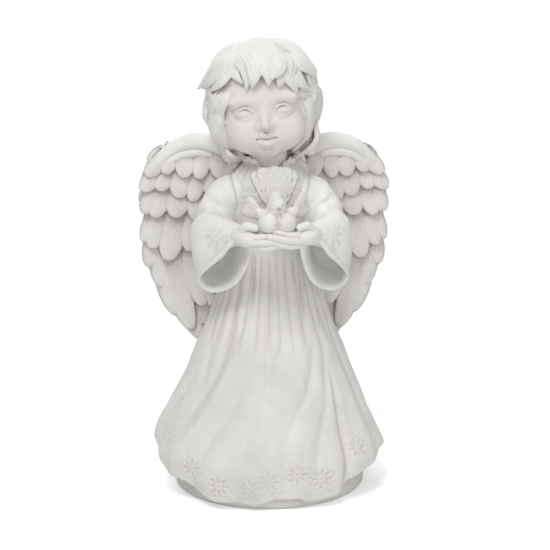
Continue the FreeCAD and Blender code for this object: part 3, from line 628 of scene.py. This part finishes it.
HAIR_CENTRE = np.array((0.0, 1.0, 213.0))
HAIR_RADII = np.array((25.6, 26.2, 26.5))
LOCKS = (  # strands, half width, path of (degrees round, degrees up, lift off the skull)
    (3, 1.9, ((-60, 66, 1), (-37, 46, 2), (-33, 31, 2), (-28, 22, 2.5), (-20, 13, 2))),
    (3, 1.9, ((-40, 58, 1.5), (-25, 41, 3), (-16, 29, 3.5), (-14, 18, 3.2), (-16, 6, 2))),
    (3, 2, ((-32, 58, 2), (-8, 38, 4), (-5, 24, 4.5), (-7, 15, 4.2), (-9.5, 7, 2.5))),
    (3, 2, ((-20, 58, 2), (1, 39, 4), (6, 26, 4.8), (8, 17, 4.5), (7.5, 8, 3))),
    (3, 2, ((5, 52, 2), (20, 35, 4), (21, 24, 5), (14, 18, 4.5), (9.5, 12.5, 3.2))),
    (3, 1.8, ((22, 50, 1.5), (30, 31, 3), (27, 20, 3), (21, 11, 2.6), (19, 5, 1.5))),
    (3, 1.9, ((35, 48, 1.5), (38, 29, 3), (31, 17, 3), (36, 5, 2.6), (42, -4, 1.6))),
    (4, 2, ((45, 50, 1), (52, 32, 3), (62, 21, 4.5), (72, 14, 5), (66, 8, 3))),
    (3, 1.8, ((37, 38, 1), (40, 19, 2.5), (45, 9, 3), (51, 3, 3), (63, -1, 2))),
    (3, 2, ((-56, 63, 1), (-40, 44, 2.5), (-38, 28, 3), (-48, 14, 3.5), (-74, 5, 3.5))),
    (3, 2, ((-62, 60, 1.5), (-50, 44, 3), (-48, 30, 4), (-60, 17, 4.5), (-84, 8, 5))),
    (3, 2, ((-67, 62, 1.5), (-64, 43, 3), (-67, 26, 4.2), (-84, 14, 5), (-92, 7, 7.5))),
    (3, 2, ((-70, 3, 3), (-84, -7, 5), (-86, -18, 7), (-84, -29, 6.5), (-78, -38, 5), (-56, -38, 2.5))),
    (3, 1.9, ((-48, 6, 2.5), (-58, -5, 3.5), (-72, -18, 4), (-74, -29, 4), (-58, -33, 3))),
    (3, 1.7, ((-40, 10, 2), (-47, -2, 2.5), (-56, -14, 2.8), (-58, -25, 2.5), (-50, -31, 2))),
    (2, 2, ((-84, -34, 8), (-80, -42, 7), (-68, -46, 5), (-56, -44, 4))),
    (2, 2, ((-84, -40, 10), (-78, -49, 9), (-64, -53, 7), (-56, -50, 5))),
    (2, 2, ((-78, -52, 12), (-68, -57, 11.5), (-62, -60, 11))),
    (3, 2, ((49, -2, 3), (72, -7, 5), (86, -18, 6), (85, -31, 7), (82, -42, 7), (74, -50, 5))),
    (3, 1.9, ((53, -9, 2), (62, -24, 3), (74, -38, 4), (70, -50, 4))),
    (3, 1.9, ((60, -4, 3), (72, -16, 5), (78, -30, 6), (70, -42, 5), (58, -44, 3))),
    (3, 2.2, ((84, -35, 9), (82, -43, 12), (78, -51, 13.5), (72, -59, 13), (64, -66, 13))),
    (2, 2, ((80, -44, 7), (74, -52, 8), (66, -60, 8.5), (60, -65, 9))),
    (3, 2.1, ((98, -4, 1), (102, -22, 3), (98, -38, 5), (92, -50, 7), (86, -58, 8))),
    (3, 2.1, ((112, -8, 1), (116, -26, 3), (113, -42, 5), (106, -54, 7), (102, -61, 8))),
    (3, 2.1, ((-98, -4, 1), (-102, -22, 3), (-98, -38, 5), (-92, -50, 7), (-88, -58, 8))),
    (3, 2.1, ((-112, -8, 1), (-116, -26, 3), (-113, -42, 5), (-106, -54, 7), (-102, -61, 8))),
)


def on_hair(azimuth, elevation, lift):
    """A point over the skull."""
    a, e = math.radians(azimuth), math.radians(elevation)
    way = np.array((math.sin(a) * math.cos(e), -math.cos(a) * math.cos(e), math.sin(e)))
    return HAIR_CENTRE + (HAIR_RADII + lift) * way


def add_lock(clay, path, strands, width):
    """A lock of hair: strands side by side along a path, tapering to the tip."""
    points = spline([on_hair(*p) for p in path], 5)
    tangent = np.gradient(points, axis=0)
    out = points - HAIR_CENTRE
    side = np.cross(tangent, out)
    side /= np.maximum(np.linalg.norm(side, axis=1), 1e-6)[:, None]
    out /= np.linalg.norm(out, axis=1)[:, None]
    t = np.linspace(0, 1, len(points))
    swell = smoothstep(t, -0.3, 0.3) * (1 - t**1.7) ** 0.85
    points = points - out * (2.4 * (1 - smoothstep(t, 0.0, 0.4)))[:, None]
    for i in range(strands):
        off = i - (strands - 1) / 2
        spread = off * 1.64 * width * swell
        lift = -0.35 * abs(off) * width * swell
        line = points + side * spread[:, None] + out * lift[:, None]
        radii = np.clip(width * (0.28 + 0.72 * swell) * (1.0 if i % 2 else 0.9), 0.5, 3)
        clay.strand(line, radii, soft=0.2, per=1)


def head_turn(points):
    """The head leans and turns a little about the neck."""
    lean, turn = math.radians(-6), math.radians(-4)
    ry = np.array(((math.cos(lean), 0, math.sin(lean)), (0, 1, 0), (-math.sin(lean), 0, math.cos(lean))))
    rz = np.array(((math.cos(turn), -math.sin(turn), 0), (math.sin(turn), math.cos(turn), 0), (0, 0, 1)))
    pivot = np.array((0, 0, 175.0))
    return pivot + (points - pivot) @ (ry @ rz).T


def make_hair():
    """A cap of hair under layers of locks round the face."""
    clay = Clay((-40, -33, 170), (40, 33, 243), 0.58)
    clay.blob(HAIR_CENTRE, (25.6, 26.2, 26.9), 1)
    clay.blob((0, 9, 199), (21, 15, 15), 6)
    clay.blob((0, -27, 202.5), (19, 15, 21.5), 2.5, carve=True)
    clay.blob((0, -10, 176), (15, 17, 13), 2, carve=True)
    clay.blob((0, 12, 187), (17, 10, 13), 5)
    for s in (-1, 1):
        clay.blob((15.5 * s, 3, 186), (6, 8, 9), 3)
        for i in range(4):
            nape = [
                (4 * s + 4.6 * s * i, 21 - 2.6 * i, 190),
                (5 * s + 4.4 * s * i, 22 - 3.4 * i, 183),
                (3 * s + 4.6 * s * i, 20.5 - 3.4 * i, 176.5),
                (5.5 * s + 4.6 * s * i, 21.5 - 3.6 * i, 172.5),
            ]
            clay.strand(nape, (3.1, 3, 2.2, 0.7), 1.2)
    for layer, (count, low, lift) in enumerate(((16, -44, 1.2), (15, -30, 1.9), (12, -12, 2.4))):
        for i in range(count):
            start, end = (78 - 4 * layer, 282 + 4 * layer)
            az = start + (end - start) * (i + 0.5 * (layer % 2)) / (count - 0.5)
            sway = 5.0 * math.sin(1.9 * i + 1.3 * layer)
            tip = low + 6 * math.sin(2.3 * i)
            path = [
                (az, 80, 0.3), (az - 0.6 * sway, 58, lift), (az + 0.6 * sway, 34, lift),
                (az - 0.8 * sway, 10, lift + 0.4), (az + sway, 0.5 * (10 + tip), lift + 0.5),
                (az - sway, tip, lift + 1.6),
            ]
            add_lock(clay, path, 4, 2.1)
    clay.blob((22, 4, 186), (5, 8, 10), 4)
    clay.blob((-25, -3, 198), (4.6, 8, 9), 3)
    clay.blob((-20.5, 5, 186), (5, 8, 10), 4)
    for s in (-1, 1):
        clay.blob((22.5 * s, -6, 203), (4.5, 9, 11), 3)
        clay.blob((20 * s, -4, 193), (4.5, 8, 8), 3)
    for strands, width, path in LOCKS:
        add_lock(clay, path, strands + 1, 0.8 * width)
    points, quads, hollow = clay.mesh(1, 0.35)
    # Painted shade in the hollows between the locks, mostly taken off the crown so the top of the head stays
    # light.
    crown = 1 - 0.8 * smoothstep(points[:, 2], 221, 231)
    piece("hair", head_turn(points), quads, HAIR, painted_shade=np.clip((hollow * 1.3 - 0.08) * crown, 0, 0.7))


def make_face():
    """Face and neck: a soft egg with brows, blank eyes, nose and closed lips."""
    clay = Clay((-24, -33, 172), (24, 14, 238), 0.42)
    clay.blob((0, 0, 213), 24.5, 1)
    clay.blob((0, -6, 202), (20, 19.5, 21.5), 6)
    clay.blob((0, -15, 188.5), (12, 9, 7.5), 5)
    for s in (-1, 1):
        clay.blob((10.4 * s, -15.2, 194), 9.8, 5)
    clay.blob((0, -9, 214), (19, 15.5, 12), 5)
    for s in (-1, 1):
        clay.blob((9.5 * s, -21.5, 210), (8, 2.4, 2.4), 4)
        clay.blob((9.4 * s, -28.6, 204.2), (7, 4.4, 4.8), 3, carve=True)
        clay.blob((9.7 * s, -19.2, 204), (5.7, 6, 4.5), 0.6)
        lid = [
            (5.2 * s, -23.3, 203.4), (7 * s, -25, 206.4), (9.8 * s, -25.3, 207.4), (12.6 * s, -24.3, 206.2),
            (14.4 * s, -21.6, 203.6),
        ]
        clay.strand([(x, y + 0.15, z - 0.3) for x, y, z in lid], 0.62, 0.5)
        clay.strand([(x, y - 0.35, z + 1.3) for x, y, z in lid[1:4]], 0.3, 0.5, carve=True)
        clay.strand([(5.2 * s, -23.3, 203.2), (9.6 * s, -24.4, 200.9), (14.2 * s, -21.8, 203.2)], 0.4, 0.9)
    clay.strand([(0, -24.2, 205.5), (0, -26.4, 200.5), (0, -28.2, 197.6)], (0.9, 1.4, 2.4), 3)
    for s in (-1, 1):
        clay.blob((2.5 * s, -25.6, 196.6), 1.6, 2.4)
        clay.blob((1.7 * s, -27, 195), 0.45, 0.8, carve=True)
    clay.blob((0, -22.5, 191), (6.5, 3.2, 4.5), 3)
    upper_lip = [
        (-6, -23, 190.9), (-2, -25.8, 192.5), (0, -25.8, 192), (2, -25.8, 192.5),
        (6, -23, 190.9),
    ]
    clay.strand(upper_lip, (0.8, 1.6, 1.35, 1.6, 0.8), 0.6)
    clay.strand([(-4.4, -23.9, 189.2), (0, -25.7, 188.1), (4.4, -23.9, 189.2)], (1, 2, 1), 0.7)
    parting = [
        (-6.2, -24.2, 190.5), (-2.4, -26.7, 190.6), (0, -26.9, 190.2), (2.4, -26.7, 190.6),
        (6.2, -24.2, 190.5),
    ]
    clay.strand(parting, (0.4, 0.62, 0.62, 0.62, 0.4), 0.25, carve=True)
    clay.blob((0, -24.8, 184.9), (5.5, 2.2, 1.2), 1.6, carve=True)
    clay.blob((0, -19.8, 184.8), 4.6, 4)
    clay.strand([(0, -2, 173), (0, -4, 190)], (9.6, 10.2), 2.5)
    points, quads, hollow = clay.mesh(2, 0.4)
    eye_out, eye_level, mouth_level = 9.6, 203.6, 191.5
    x, z = points[:, 0], points[:, 2]
    socket = np.exp(-(((np.abs(x) - eye_out) / 5) ** 2) - ((z - eye_level) / 3.4) ** 2)
    mouth = np.exp(-((x / 8) ** 2) - ((z - mouth_level) / 5) ** 2)
    # Painted shade in the face's hollows, stronger round the eye sockets and the mouth.
    painted_shade = np.clip(hollow * (0.5 + 0.35 * socket + 0.4 * mouth), 0, 0.75)
    made = piece("face", head_turn(points), quads, SKIN, painted_shade=painted_shade)
    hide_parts("head")


# ---- hands and dove

FOREMOST = -53.7  # nothing in front of the solid hands and dove
FINGERS = (  # path, radius
    (((13, -46.5, 139.8), (5, -51, 140), (-4, -51.3, 142.2)), 2),
    (((13, -48, 142), (5, -51.8, 142.8), (-4.5, -51.3, 144.8)), 2),
    (((13, -47, 144.5), (6, -50.5, 145.4), (-2, -49.5, 147)), 1.9),
    (((12, -44, 146), (6, -47, 147.2), (0, -46, 147.8)), 1.8),
)


def make_hands():
    """Two hands with their fingers laid over each other, as far as the sleeves."""
    clay = Clay((-33, -54.6, 131), (33, -18, 154), 0.4)
    for s in (-1, 1):
        drop, back = (0, 0) if s > 0 else (-1, 1)
        clay.blob((13 * s, -43 + back, 143.5 + drop), (8, 7.5, 5), 1.5)
        wrist = [(17.5 * s, -40.5 + back, 143.5), (25 * s, -27, 139.5), (28 * s, -19, 138)]
        clay.strand(wrist, (4.8, 5, 5), 2.5)
        for path, radius in FINGERS:
            path = [(x * s, y + back, z + drop) for x, y, z in path]
            clay.strand(path, (radius, radius * 0.95, radius * 0.78), 0.35)
        thumb = [(17.5 * s, -43 + back, 146), (15 * s, -46 + back, 149), (11 * s, -48.5 + back, 148.6)]
        clay.strand(thumb, (2.6, 2.3, 1.9), 0.8)
    points, quads, hollow = clay.mesh(1, 0.4)
    points[:, 1] = np.maximum(points[:, 1], FOREMOST)
    # Painted shade in the hollows between the fingers and at the wrists.
    made = piece("cupped_hands", points, quads, HAIR, painted_shade=np.clip(hollow * 0.9 - 0.08, 0, 0.75))
    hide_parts("hands")


NO_BARBS = math.pi / 2  # the crest of the barb wave, for smooth places


class Plumage:
    """Feathers collected into one mesh."""

    BARB_PITCH = 1.25

    def __init__(self):
        self.points, self.faces, self.painted_shade, self.barb, self.count = [], [], [], [], 0

    def add(self, grid, painted_shade, barb):
        rows, columns = grid.shape[:2]
        self.faces.append(sheet_faces(rows, columns, self.count))
        self.points.append(grid.reshape(-1, 3))
        self.painted_shade.append(np.broadcast_to(painted_shade, (rows, columns)).ravel())
        self.barb.append(np.broadcast_to(barb, (rows, columns)).ravel())
        self.count += rows * columns

    def feather(self, root, tip, width, thick=1.5, bow=0.0, front=(0, -1, 0),
                root_share=0.7, blunt=0.3, lift=0.0, shade=0.5):
        """A lens-shaped feather from root to tip, in 3-D; front is the way its good face looks."""
        root, tip, front = (np.array(v, float) for v in (root, tip, front))
        along = tip - root
        length = np.linalg.norm(along)
        way = along / length
        front = front - way * (front @ way)
        front /= np.linalg.norm(front)
        side = np.cross(way, front)
        n, m = 34, 13
        v = np.linspace(0, 1, n) ** 0.85
        body = np.interp(v, (0, 0.25, 0.6, 1), (root_share, 0.95, 1.0, 0.94))
        tipper = np.sqrt(np.clip(1 - np.clip((v - 1 + blunt) / blunt, 0, 1) ** 2.2, 0, 1))
        half = 0.5 * width * body * np.maximum(tipper, 0.03)
        u = np.linspace(-1, 1, m)
        sweep = side * (bow * np.sin(np.pi * v) * length)[:, None]
        spine = root + along * v[:, None] + sweep + front * (lift * v**2)[:, None]
        fall = 0.22 * thick * np.clip(tipper, 0.1, 1)
        rake = v[:, None] * length * 1.5 - np.abs(u)[None] * half[:, None] * 1.9 + 1.7 * root[0] + root[2]
        thinning = np.clip(tipper, 0.12, 1)[:, None]
        crown = thick * (1 - np.abs(u) ** 2.2)[None] * thinning
        rib = 0.42 * bell(u, 0.13)[None] * (1 - 0.6 * v)[:, None] * np.clip(tipper, 0.1, 1)[:, None]
        wave = np.sin(rake) + 0.5 * np.sin(0.43 * rake + 1.0)
        ripple = 0.24 * wave * smoothstep(np.abs(u), 0.15, 0.5)[None] * tipper[:, None]
        raised = (crown + rib + ripple)[:, :, None]
        upper = spine[:, None] + side * (half[:, None] * u)[:, :, None] + front * raised
        back_u = u[::-1][1:-1]
        sag = (0.45 * thick * (1 - np.abs(back_u) ** 2)[None] + fall[:, None]) * thinning
        lower = spine[:, None] + side * (half[:, None] * back_u)[:, :, None] - front * sag[:, :, None]
        grid = np.concatenate([upper, lower], 1)
        full_u = np.concatenate([u, back_u])
        slant = v[:, None] * length - 1.25 * np.abs(full_u)[None] * half[:, None]
        barb = slant * (2 * math.pi / self.BARB_PITCH)
        # Painted shade: dark along the edges and beside the rib, where the feather comes out from under the
        # one above, and at the tip.
        edge = smoothstep(np.abs(full_u), 0.80, 1.0)[None] * 0.9
        near_rib = 0.18 * bell(np.abs(full_u) - 0.2, 0.07)[None]
        base = shade * bell(v, 0.34)[:, None] + 0.85 * smoothstep(v, 0.95, 1.0)[:, None]
        self.add(grid, np.clip(edge + near_rib * (1 - 0.5 * v)[:, None] + base, 0, 0.95), barb)

    def roll(self, path, half_wide, half_thick, front=(0, -1, 0)):
        """A smooth rounded roll along a path."""
        line = spline(path, 8)
        way = np.gradient(line, axis=0)
        way /= np.linalg.norm(way, axis=1)[:, None]
        front = np.array(front, float)
        side = np.cross(way, front)
        side /= np.linalg.norm(side, axis=1)[:, None]
        n = len(line)
        t = np.linspace(0, 1, n)
        taper = np.sqrt(np.clip(1 - (2 * t - 1) ** 8, 0.0, 1)) * 0.99 + 0.01
        wide = np.interp(t, np.linspace(0, 1, len(half_wide)), half_wide) * taper
        thick = np.interp(t, np.linspace(0, 1, len(half_thick)), half_thick) * taper
        phi = 2 * np.pi * np.arange(36) / 36
        across = side[:, None] * (wide[:, None] * np.cos(phi))[:, :, None]
        grid = line[:, None] + across - front * (thick[:, None] * np.sin(phi))[:, :, None]
        # Painted shade along the underside of the roll.
        self.add(grid, 0.5 * smoothstep(np.cos(phi), 0.55, 1.0), NO_BARBS)

    def finish(self, name, material, mirror=False):
        points = np.concatenate(self.points)
        faces = np.concatenate(self.faces)
        if mirror:
            points = points * [-1, 1, 1]
            faces = faces[:, ::-1]
        painted_shade, barb = np.concatenate(self.painted_shade), np.concatenate(self.barb)
        return piece(name, points, faces, material, painted_shade=painted_shade, barb=barb)


def make_dove():
    """The dove's body, and its tail, wings and breast feathers."""
    clay = Clay((-17, -54, 141), (19, -28, 173), 0.36)
    for s in (-1, 1):
        clay.blob((4.2 * s, -47.6, 151.2), (5.2, 5.8, 5.4), 1.1)
    clay.blob((0, -44, 153), (6.5, 7.5, 6), 2.5)
    clay.blob((0.2, -48.6, 159.6), (4.1, 4.3, 4.1), 2.2)
    clay.strand([(0.2, -51.6, 159.8), (0.4, -53.2, 158.6)], (1.3, 0.5), 0.6)
    clay.strand([(0, -42, 156), (0, -38, 162)], (5, 3.5), 3)
    for s in (-1, 1):
        clay.blob((2.4 * s + 0.2, -52.1, 160.6), 0.62, 0.3, carve=True)
        clay.strand([(0.6 * s, -53.4, 147.5), (0.3 * s, -54, 153.5)], 0.7, 0.8, carve=True)
    clay.strand([(6, -45, 154), (9.5, -43, 157)], (3.4, 2), 1.4)
    clay.strand([(-6, -45, 154), (-9, -43.5, 156.5)], (3, 1.8), 1.4)
    points, quads, hollow = clay.mesh(1, 0.4)
    beak = np.exp(-(((points - (0.4, -53.2, 158.8)) ** 2).sum(1)) / 1.2)
    points[:, 1] = np.maximum(points[:, 1], FOREMOST)
    barb = np.full(len(points), NO_BARBS)
    # Painted shade in the dove's hollows, with the same darkening round the tip of the beak.
    body = piece("dove_body", points, quads, BIRD, painted_shade=np.clip(hollow * 0.8 + 0.8 * beak, 0, 0.9), barb=barb)
    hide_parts("dove")
    fan = Plumage()
    for i in range(7):
        a = (i - 3) / 3
        root = (1.6 * a, -41 + 0.4 * (i % 2), 157)
        tip = (10.4 * a, -32.5 + 1.5 * a * a, 177.4 - 2.4 * a * a + 0.5 * (i % 2))
        fan.feather(root, tip, 7, 0.7, blunt=0.22, shade=0.3, root_share=0.4)
    for count, width, root, root_step, tip, tip_step in (
        (5, 5, (6, -46.5, 154.5), (2.5, 2, 1.5), (17.6, -38.5, 156.5), (-3.2, -0.5, 8.5)),
        (4, 4.8, (-6, -46.5, 154), (-2, 2, 1.2), (-17.4, -39, 156), (3, -0.5, 7)),
    ):
        for i in range(count):
            a = i / (count - 1)
            ends = [[p + q * a for p, q in zip(*pair)] for pair in ((root, root_step), (tip, tip_step))]
            fan.feather(*ends, width, 0.8, shade=0.3, root_share=0.5)
    for i in range(3):
        for s in (-1, 1):
            root = (s * 1.8 * (i + 0.5), -51.2 + 0.9 * i, 156.2)
            tip = (s * 2.6 * (i + 0.6), -52.6 + 0.8 * i, 150.8)
            fan.feather(root, tip, 3.2, 0.5, shade=0.3)
    fan.finish("dove_feathers", BIRD)


# ---- wings

WING_START, WING_SWEEP, LAYER_STEP = 12.5, 0.215, 1.35
WING_FACE = (0.21, -1, 0)  # the way the front of the left wing looks
WING_FRONT = (  # layer, root x z, tip x z, width, bow
    (5, (31, 172), (33, 151), 10, 0),
    (1, (36, 183), (34.8, 163.4), 10.5, 0.02),
    (1, (44, 183), (45, 163), 11.5, 0.02),
    (1, (51, 182), (54.5, 166.5), 10, 0.04),
    (1, (55, 179), (63.8, 166), 9, 0.05),
    (1, (28, 183), (25, 163), 11, -0.02),
    (2, (29, 171), (29, 152), 10.5, 0),
    (2, (37.5, 170), (38.8, 152), 11, 0.02),
    (2, (46, 171), (48.2, 153.6), 11.5, 0.02),
    (2, (54, 170), (57.5, 155.5), 11, 0.03),
    (2, (58.5, 171), (66.4, 156), 9, 0.05),
    (3, (38.5, 160), (39, 141.8), 12, 0.02),
    (3, (47, 161), (49.4, 142), 12.5, 0.02),
    (3, (55.5, 161), (60, 140.5), 12, 0.03),
    (3, (61, 161), (67.4, 144), 9.5, 0.05),
    (4, (40, 150), (42, 124), 12.5, 0.02),
    (4, (49.5, 150), (53, 117), 14.5, 0.02),
    (4, (58.5, 148), (63.6, 123), 12, 0.03),
    (5, (61.5, 148), (67, 127.5), 9.5, 0.04),
    (5, (42, 133), (34.5, 92), 13.5, -0.05),
    (5, (49.5, 132), (41, 78), 15, -0.06),
    (6, (55.5, 132), (49.5, 86), 14, -0.05),
    (6, (59.5, 133), (57, 101.5), 12, -0.02),
    (6, (62, 135), (64, 113), 11, 0.02),
    (6, (38, 128), (30, 92), 12, -0.04),
    (7, (45, 118), (36.5, 72.5), 13, -0.06),
    (5, (35, 152), (35.5, 114), 12, -0.02),
    (6, (33, 135), (29, 100), 12, -0.03),
)
WING_BACK = (  # the same for the extra feathers of the back
    (1, (22, 182), (19, 160), 11, -0.02),
    (2, (22, 170), (20, 149), 11, -0.02),
    (3, (22, 158), (21.5, 138), 11, -0.02),
    (3, (30, 160), (30, 140), 11, 0),
    (4, (24, 148), (24, 125), 12, -0.02),
    (4, (32, 149), (33, 124), 12, 0),
    (5, (27, 137), (27, 108), 12, -0.02),
    (5, (36, 138), (33.5, 104), 13, -0.02),
    (5, (45, 138), (42.5, 103), 13.5, -0.02),
    (5, (54, 138), (51.5, 107), 13, -0.02),
    (5, (61, 138), (60, 113), 11, 0),
    (6, (33, 118), (31, 84), 13, -0.03),
    (6, (42, 120), (38, 78), 13.5, -0.03),
    (6, (50, 120), (46, 83), 13, -0.03),
    (6, (57, 120), (54, 93), 11.5, -0.02),
    (7, (39, 100), (36, 73), 12.5, -0.03),
)


def make_wing(side, name, stands_for):
    """One wing, built as the left one and mirrored where side is -1."""
    wing = Plumage()

    def at(x, z, layer):
        """A point of the swept wing; layers lie one behind the other."""
        return (x, WING_START + WING_SWEEP * x + LAYER_STEP * layer, z)

    for i, (layer, root, tip, width, bow) in enumerate(WING_FRONT):
        if layer < 5:
            sway = 1.3 * math.sin(2.1 * i)
            root = (root[0] - 0.6 * sway, root[1])
            tip = (tip[0] + sway, tip[1] - 1.2 * math.cos(1.7 * i))
            width = width * (1.04 + 0.09 * math.sin(3.3 * i))
        start, end = at(*root, layer + 0.9), at(*tip, layer - 1.02)
        wing.feather(start, end, width, 2.5, bow, front=(0.21, -1, 0.05), blunt=0.46, lift=1.1, shade=0.9)
    for layer, root, tip, width, bow in [row for row in WING_FRONT if row[0] < 5] + list(WING_BACK):
        deep = 11.6 - 0.42 * layer
        start, end = at(root[0] - 1.0, root[1], deep - 0.5), at(tip[0] - 1.2, tip[1] + 2.0, deep + 0.9)
        start, end = ((x, y - 0.05 * x, z) for x, y, z in (start, end))
        wing.feather(start, end, width * 1.05, 1.4, bow, front=(-0.17, 1, 0.0), blunt=0.34, shade=0.75)
    arch = [
        at(22, 178, 0.6), at(29, 183, 0.2), at(37, 184.2, 0), at(44, 183, 0), at(50, 180.2, 0.2),
        at(55.5, 175.6, 0.6), at(60.5, 170.3, 1.2), at(64.6, 166.5, 1.8),
    ]
    wide, thick = (4.2, 4.8, 4.6, 4.3, 4.0, 3.6, 3.0, 2.0), (4.0, 4.2, 4.0, 3.8, 3.4, 3.0, 2.4, 1.6)
    wing.roll(arch, wide, thick, front=WING_FACE)
    second = [
        at(27, 176.5, 1.6), at(36, 179, 0.6), at(45, 177.6, 0.4), at(52, 173.6, 0.6), at(57, 171.2, 1.2),
    ]
    wing.roll(second, (2.6, 3.3, 3.2, 2.6, 1.4), (3.2, 3.2, 3.0, 2.6, 1.6), front=WING_FACE)
    rear = [
        at(20, 177, 7.6), at(30, 182, 7.8), at(40, 183, 8.2), at(50, 179, 8.6), at(58.5, 174, 8.4),
        at(64, 167.5, 7.6),
    ]
    wing.roll(rear, (4.2, 4.8, 4.6, 4.4, 4.4, 3.4), (2.8, 3.0, 3.4, 3.6, 3.4, 2.6), front=WING_FACE)
    core = (  # height, inner edge, outer edge of the sheet between the feathers
        (184, 20, 52), (176, 18, 59), (166, 18, 63), (154, 18, 64), (142, 18, 63), (128, 20, 61),
        (116, 24, 57), (104, 28, 52), (92, 31, 45), (82, 34, 39),
    )
    grid = []
    for z, low, high in core:
        xs = np.linspace(low, high - 3, 24)
        front = [at(x, z, 5.0) for x in xs]
        rear = [at(x, z, 6.4) for x in xs[::-1]]
        grid.append(front + rear)
    grid = np.array(grid[::-1])
    grid[:, :, 1] = np.clip(grid[:, :, 1], 0, 36)
    # The sheet between the feathers carries painted shade, so the gaps read as shadow.
    wing.add(grid, 0.35, NO_BARBS)
    lat = np.linspace(-np.pi / 2, np.pi / 2, 31)[:, None]
    lon = 2 * np.pi * np.arange(48) / 48
    flat = np.sign(np.sin(lon)) * np.abs(np.sin(lon)) ** 0.7
    pad = np.stack([
        14.0 + 11.5 * np.cos(lat) * np.cos(lon),
        17.2 + 6.6 * np.cos(lat) ** 0.7 * flat + 1.8 * np.cos(lat) * np.cos(lon),
        158.5 + 18.5 * np.sin(lat) + 0 * lon,
    ], -1)
    # Faint painted shade on the pad.
    wing.add(pad, 0.1, NO_BARBS)
    made = wing.finish(name, PLUME, mirror=side < 0)
    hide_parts(stands_for)


make_robe()
make_sleeve(1, "sleeve_of_left_arm", "sleeve_left")
make_sleeve(-1, "sleeve_of_right_arm", "sleeve_right")
make_face()
make_hair()
make_hands()
make_dove()
make_wing(1, "feathers_of_left_wing", "wing_left")
make_wing(-1, "feathers_of_right_wing", "wing_right")

FINISHES = {"base_plug": PLUG, "felt_pad": FELT, "wing_pins_left": STEEL, "wing_pins_right": STEEL}
for label, material in FINISHES.items():
    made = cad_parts[label]
    made.data.materials.clear()
    made.data.materials.append(material)

# ---- studio


def background_rays(tree):
    """1 on the rays that see a white background: camera, glossy and transmission rays."""
    path = tree.nodes.new("ShaderNodeLightPath")
    seen = arithmetic(tree, "MAXIMUM", path.outputs["Is Camera Ray"], path.outputs["Is Glossy Ray"])
    return arithmetic(tree, "MAXIMUM", seen, path.outputs["Is Transmission Ray"])


LAMPS = (  # name, place and size in metres, watts
    ("key", (-0.34, -0.7, 1.3), 0.5, 9.2),
    ("fill", (0.8, -1.0, 0.45), 0.9, 2.4),
    ("front", (-0.1, -1.5, 0.16), 1.0, 5.0),
    ("top", (0.15, 0.35, 1.2), 0.6, 2.8),
    ("back", (-0.4, 1.0, 0.6), 0.6, 2.5),
)


def studio():
    """A white world, a pale floor that keeps the shadow, and five soft lamps."""
    world = bpy.data.worlds.new("studio")
    scene.world = world
    world.use_nodes = True
    tree = world.node_tree
    sky = tree.nodes["Background"]
    light, background = (0.34, 0.34, 0.34), (1.0, 1.0, 1.0)
    feed(tree, sky.inputs["Color"], mixed(tree, background_rays(tree), light, background))
    sky.inputs["Strength"].default_value = 1.0

    mesh = bpy.data.meshes.new("floor")
    reach = 1.6
    corners = [(-reach, -reach, 0), (reach, -reach, 0), (reach, reach, 0), (-reach, reach, 0)]
    mesh.from_pydata(corners, [], [(0, 1, 2, 3)])
    floor = bpy.data.objects.new("floor", mesh)
    scene.collection.objects.link(floor)
    material, tree, paper, place = new_material("floor_paper")
    mesh.materials.append(material)
    paper.inputs["Base Color"].default_value = (0.82, 0.82, 0.82, 1)
    paper.inputs["Roughness"].default_value = 0.9
    seen = background_rays(tree)
    lift = arithmetic(tree, "MULTIPLY", seen, 0.42)
    glow = node(tree, "ShaderNodeEmission", Color=(1, 1, 1), Strength=lift)
    lifted = tree.nodes.new("ShaderNodeAddShader")
    tree.links.new(paper.outputs[0], lifted.inputs[0])
    tree.links.new(glow.outputs[0], lifted.inputs[1])
    white = node(tree, "ShaderNodeEmission", Color=(1, 1, 1), Strength=seen)
    length = tree.nodes.new("ShaderNodeVectorMath")
    length.operation = "LENGTH"
    tree.links.new(place, length.inputs[0])
    fade = ranged(tree, length.outputs["Value"], 0.12, 0.34)
    blend = tree.nodes.new("ShaderNodeMixShader")
    share = arithmetic(tree, "MULTIPLY", fade, seen)
    for value, socket in zip((share, lifted.outputs[0], white.outputs[0]), blend.inputs):
        tree.links.new(value, socket)
    tree.links.new(blend.outputs[0], tree.nodes["Material Output"].inputs["Surface"])

    middle = Vector((0, 0, 0.12))
    for name, at, size, watts in LAMPS:
        data = bpy.data.lights.new(name, "AREA")
        data.size = size
        data.energy = watts
        lamp = bpy.data.objects.new(name, data)
        lamp.location = at
        lamp.rotation_euler = (middle - Vector(at)).to_track_quat("-Z", "Y").to_euler()
        scene.collection.objects.link(lamp)


def camera():
    """The camera in front of the figure, a little to its right and above."""
    azimuth, elevation, away = math.radians(-5), math.radians(12), 0.696
    target = Vector((0.003, 0, 0.1146))
    flat = math.cos(elevation)
    way = Vector((math.sin(azimuth) * flat, -math.cos(azimuth) * flat, math.sin(elevation)))
    data = bpy.data.cameras.new("camera")
    data.lens = 85
    data.sensor_width = 36
    data.clip_start = 0.01
    made = bpy.data.objects.new("camera", data)
    made.location = target + way * away
    made.rotation_euler = (-way).to_track_quat("-Z", "Y").to_euler()
    scene.collection.objects.link(made)
    scene.camera = made


studio()
camera()
scene.view_settings.view_transform = "Standard"
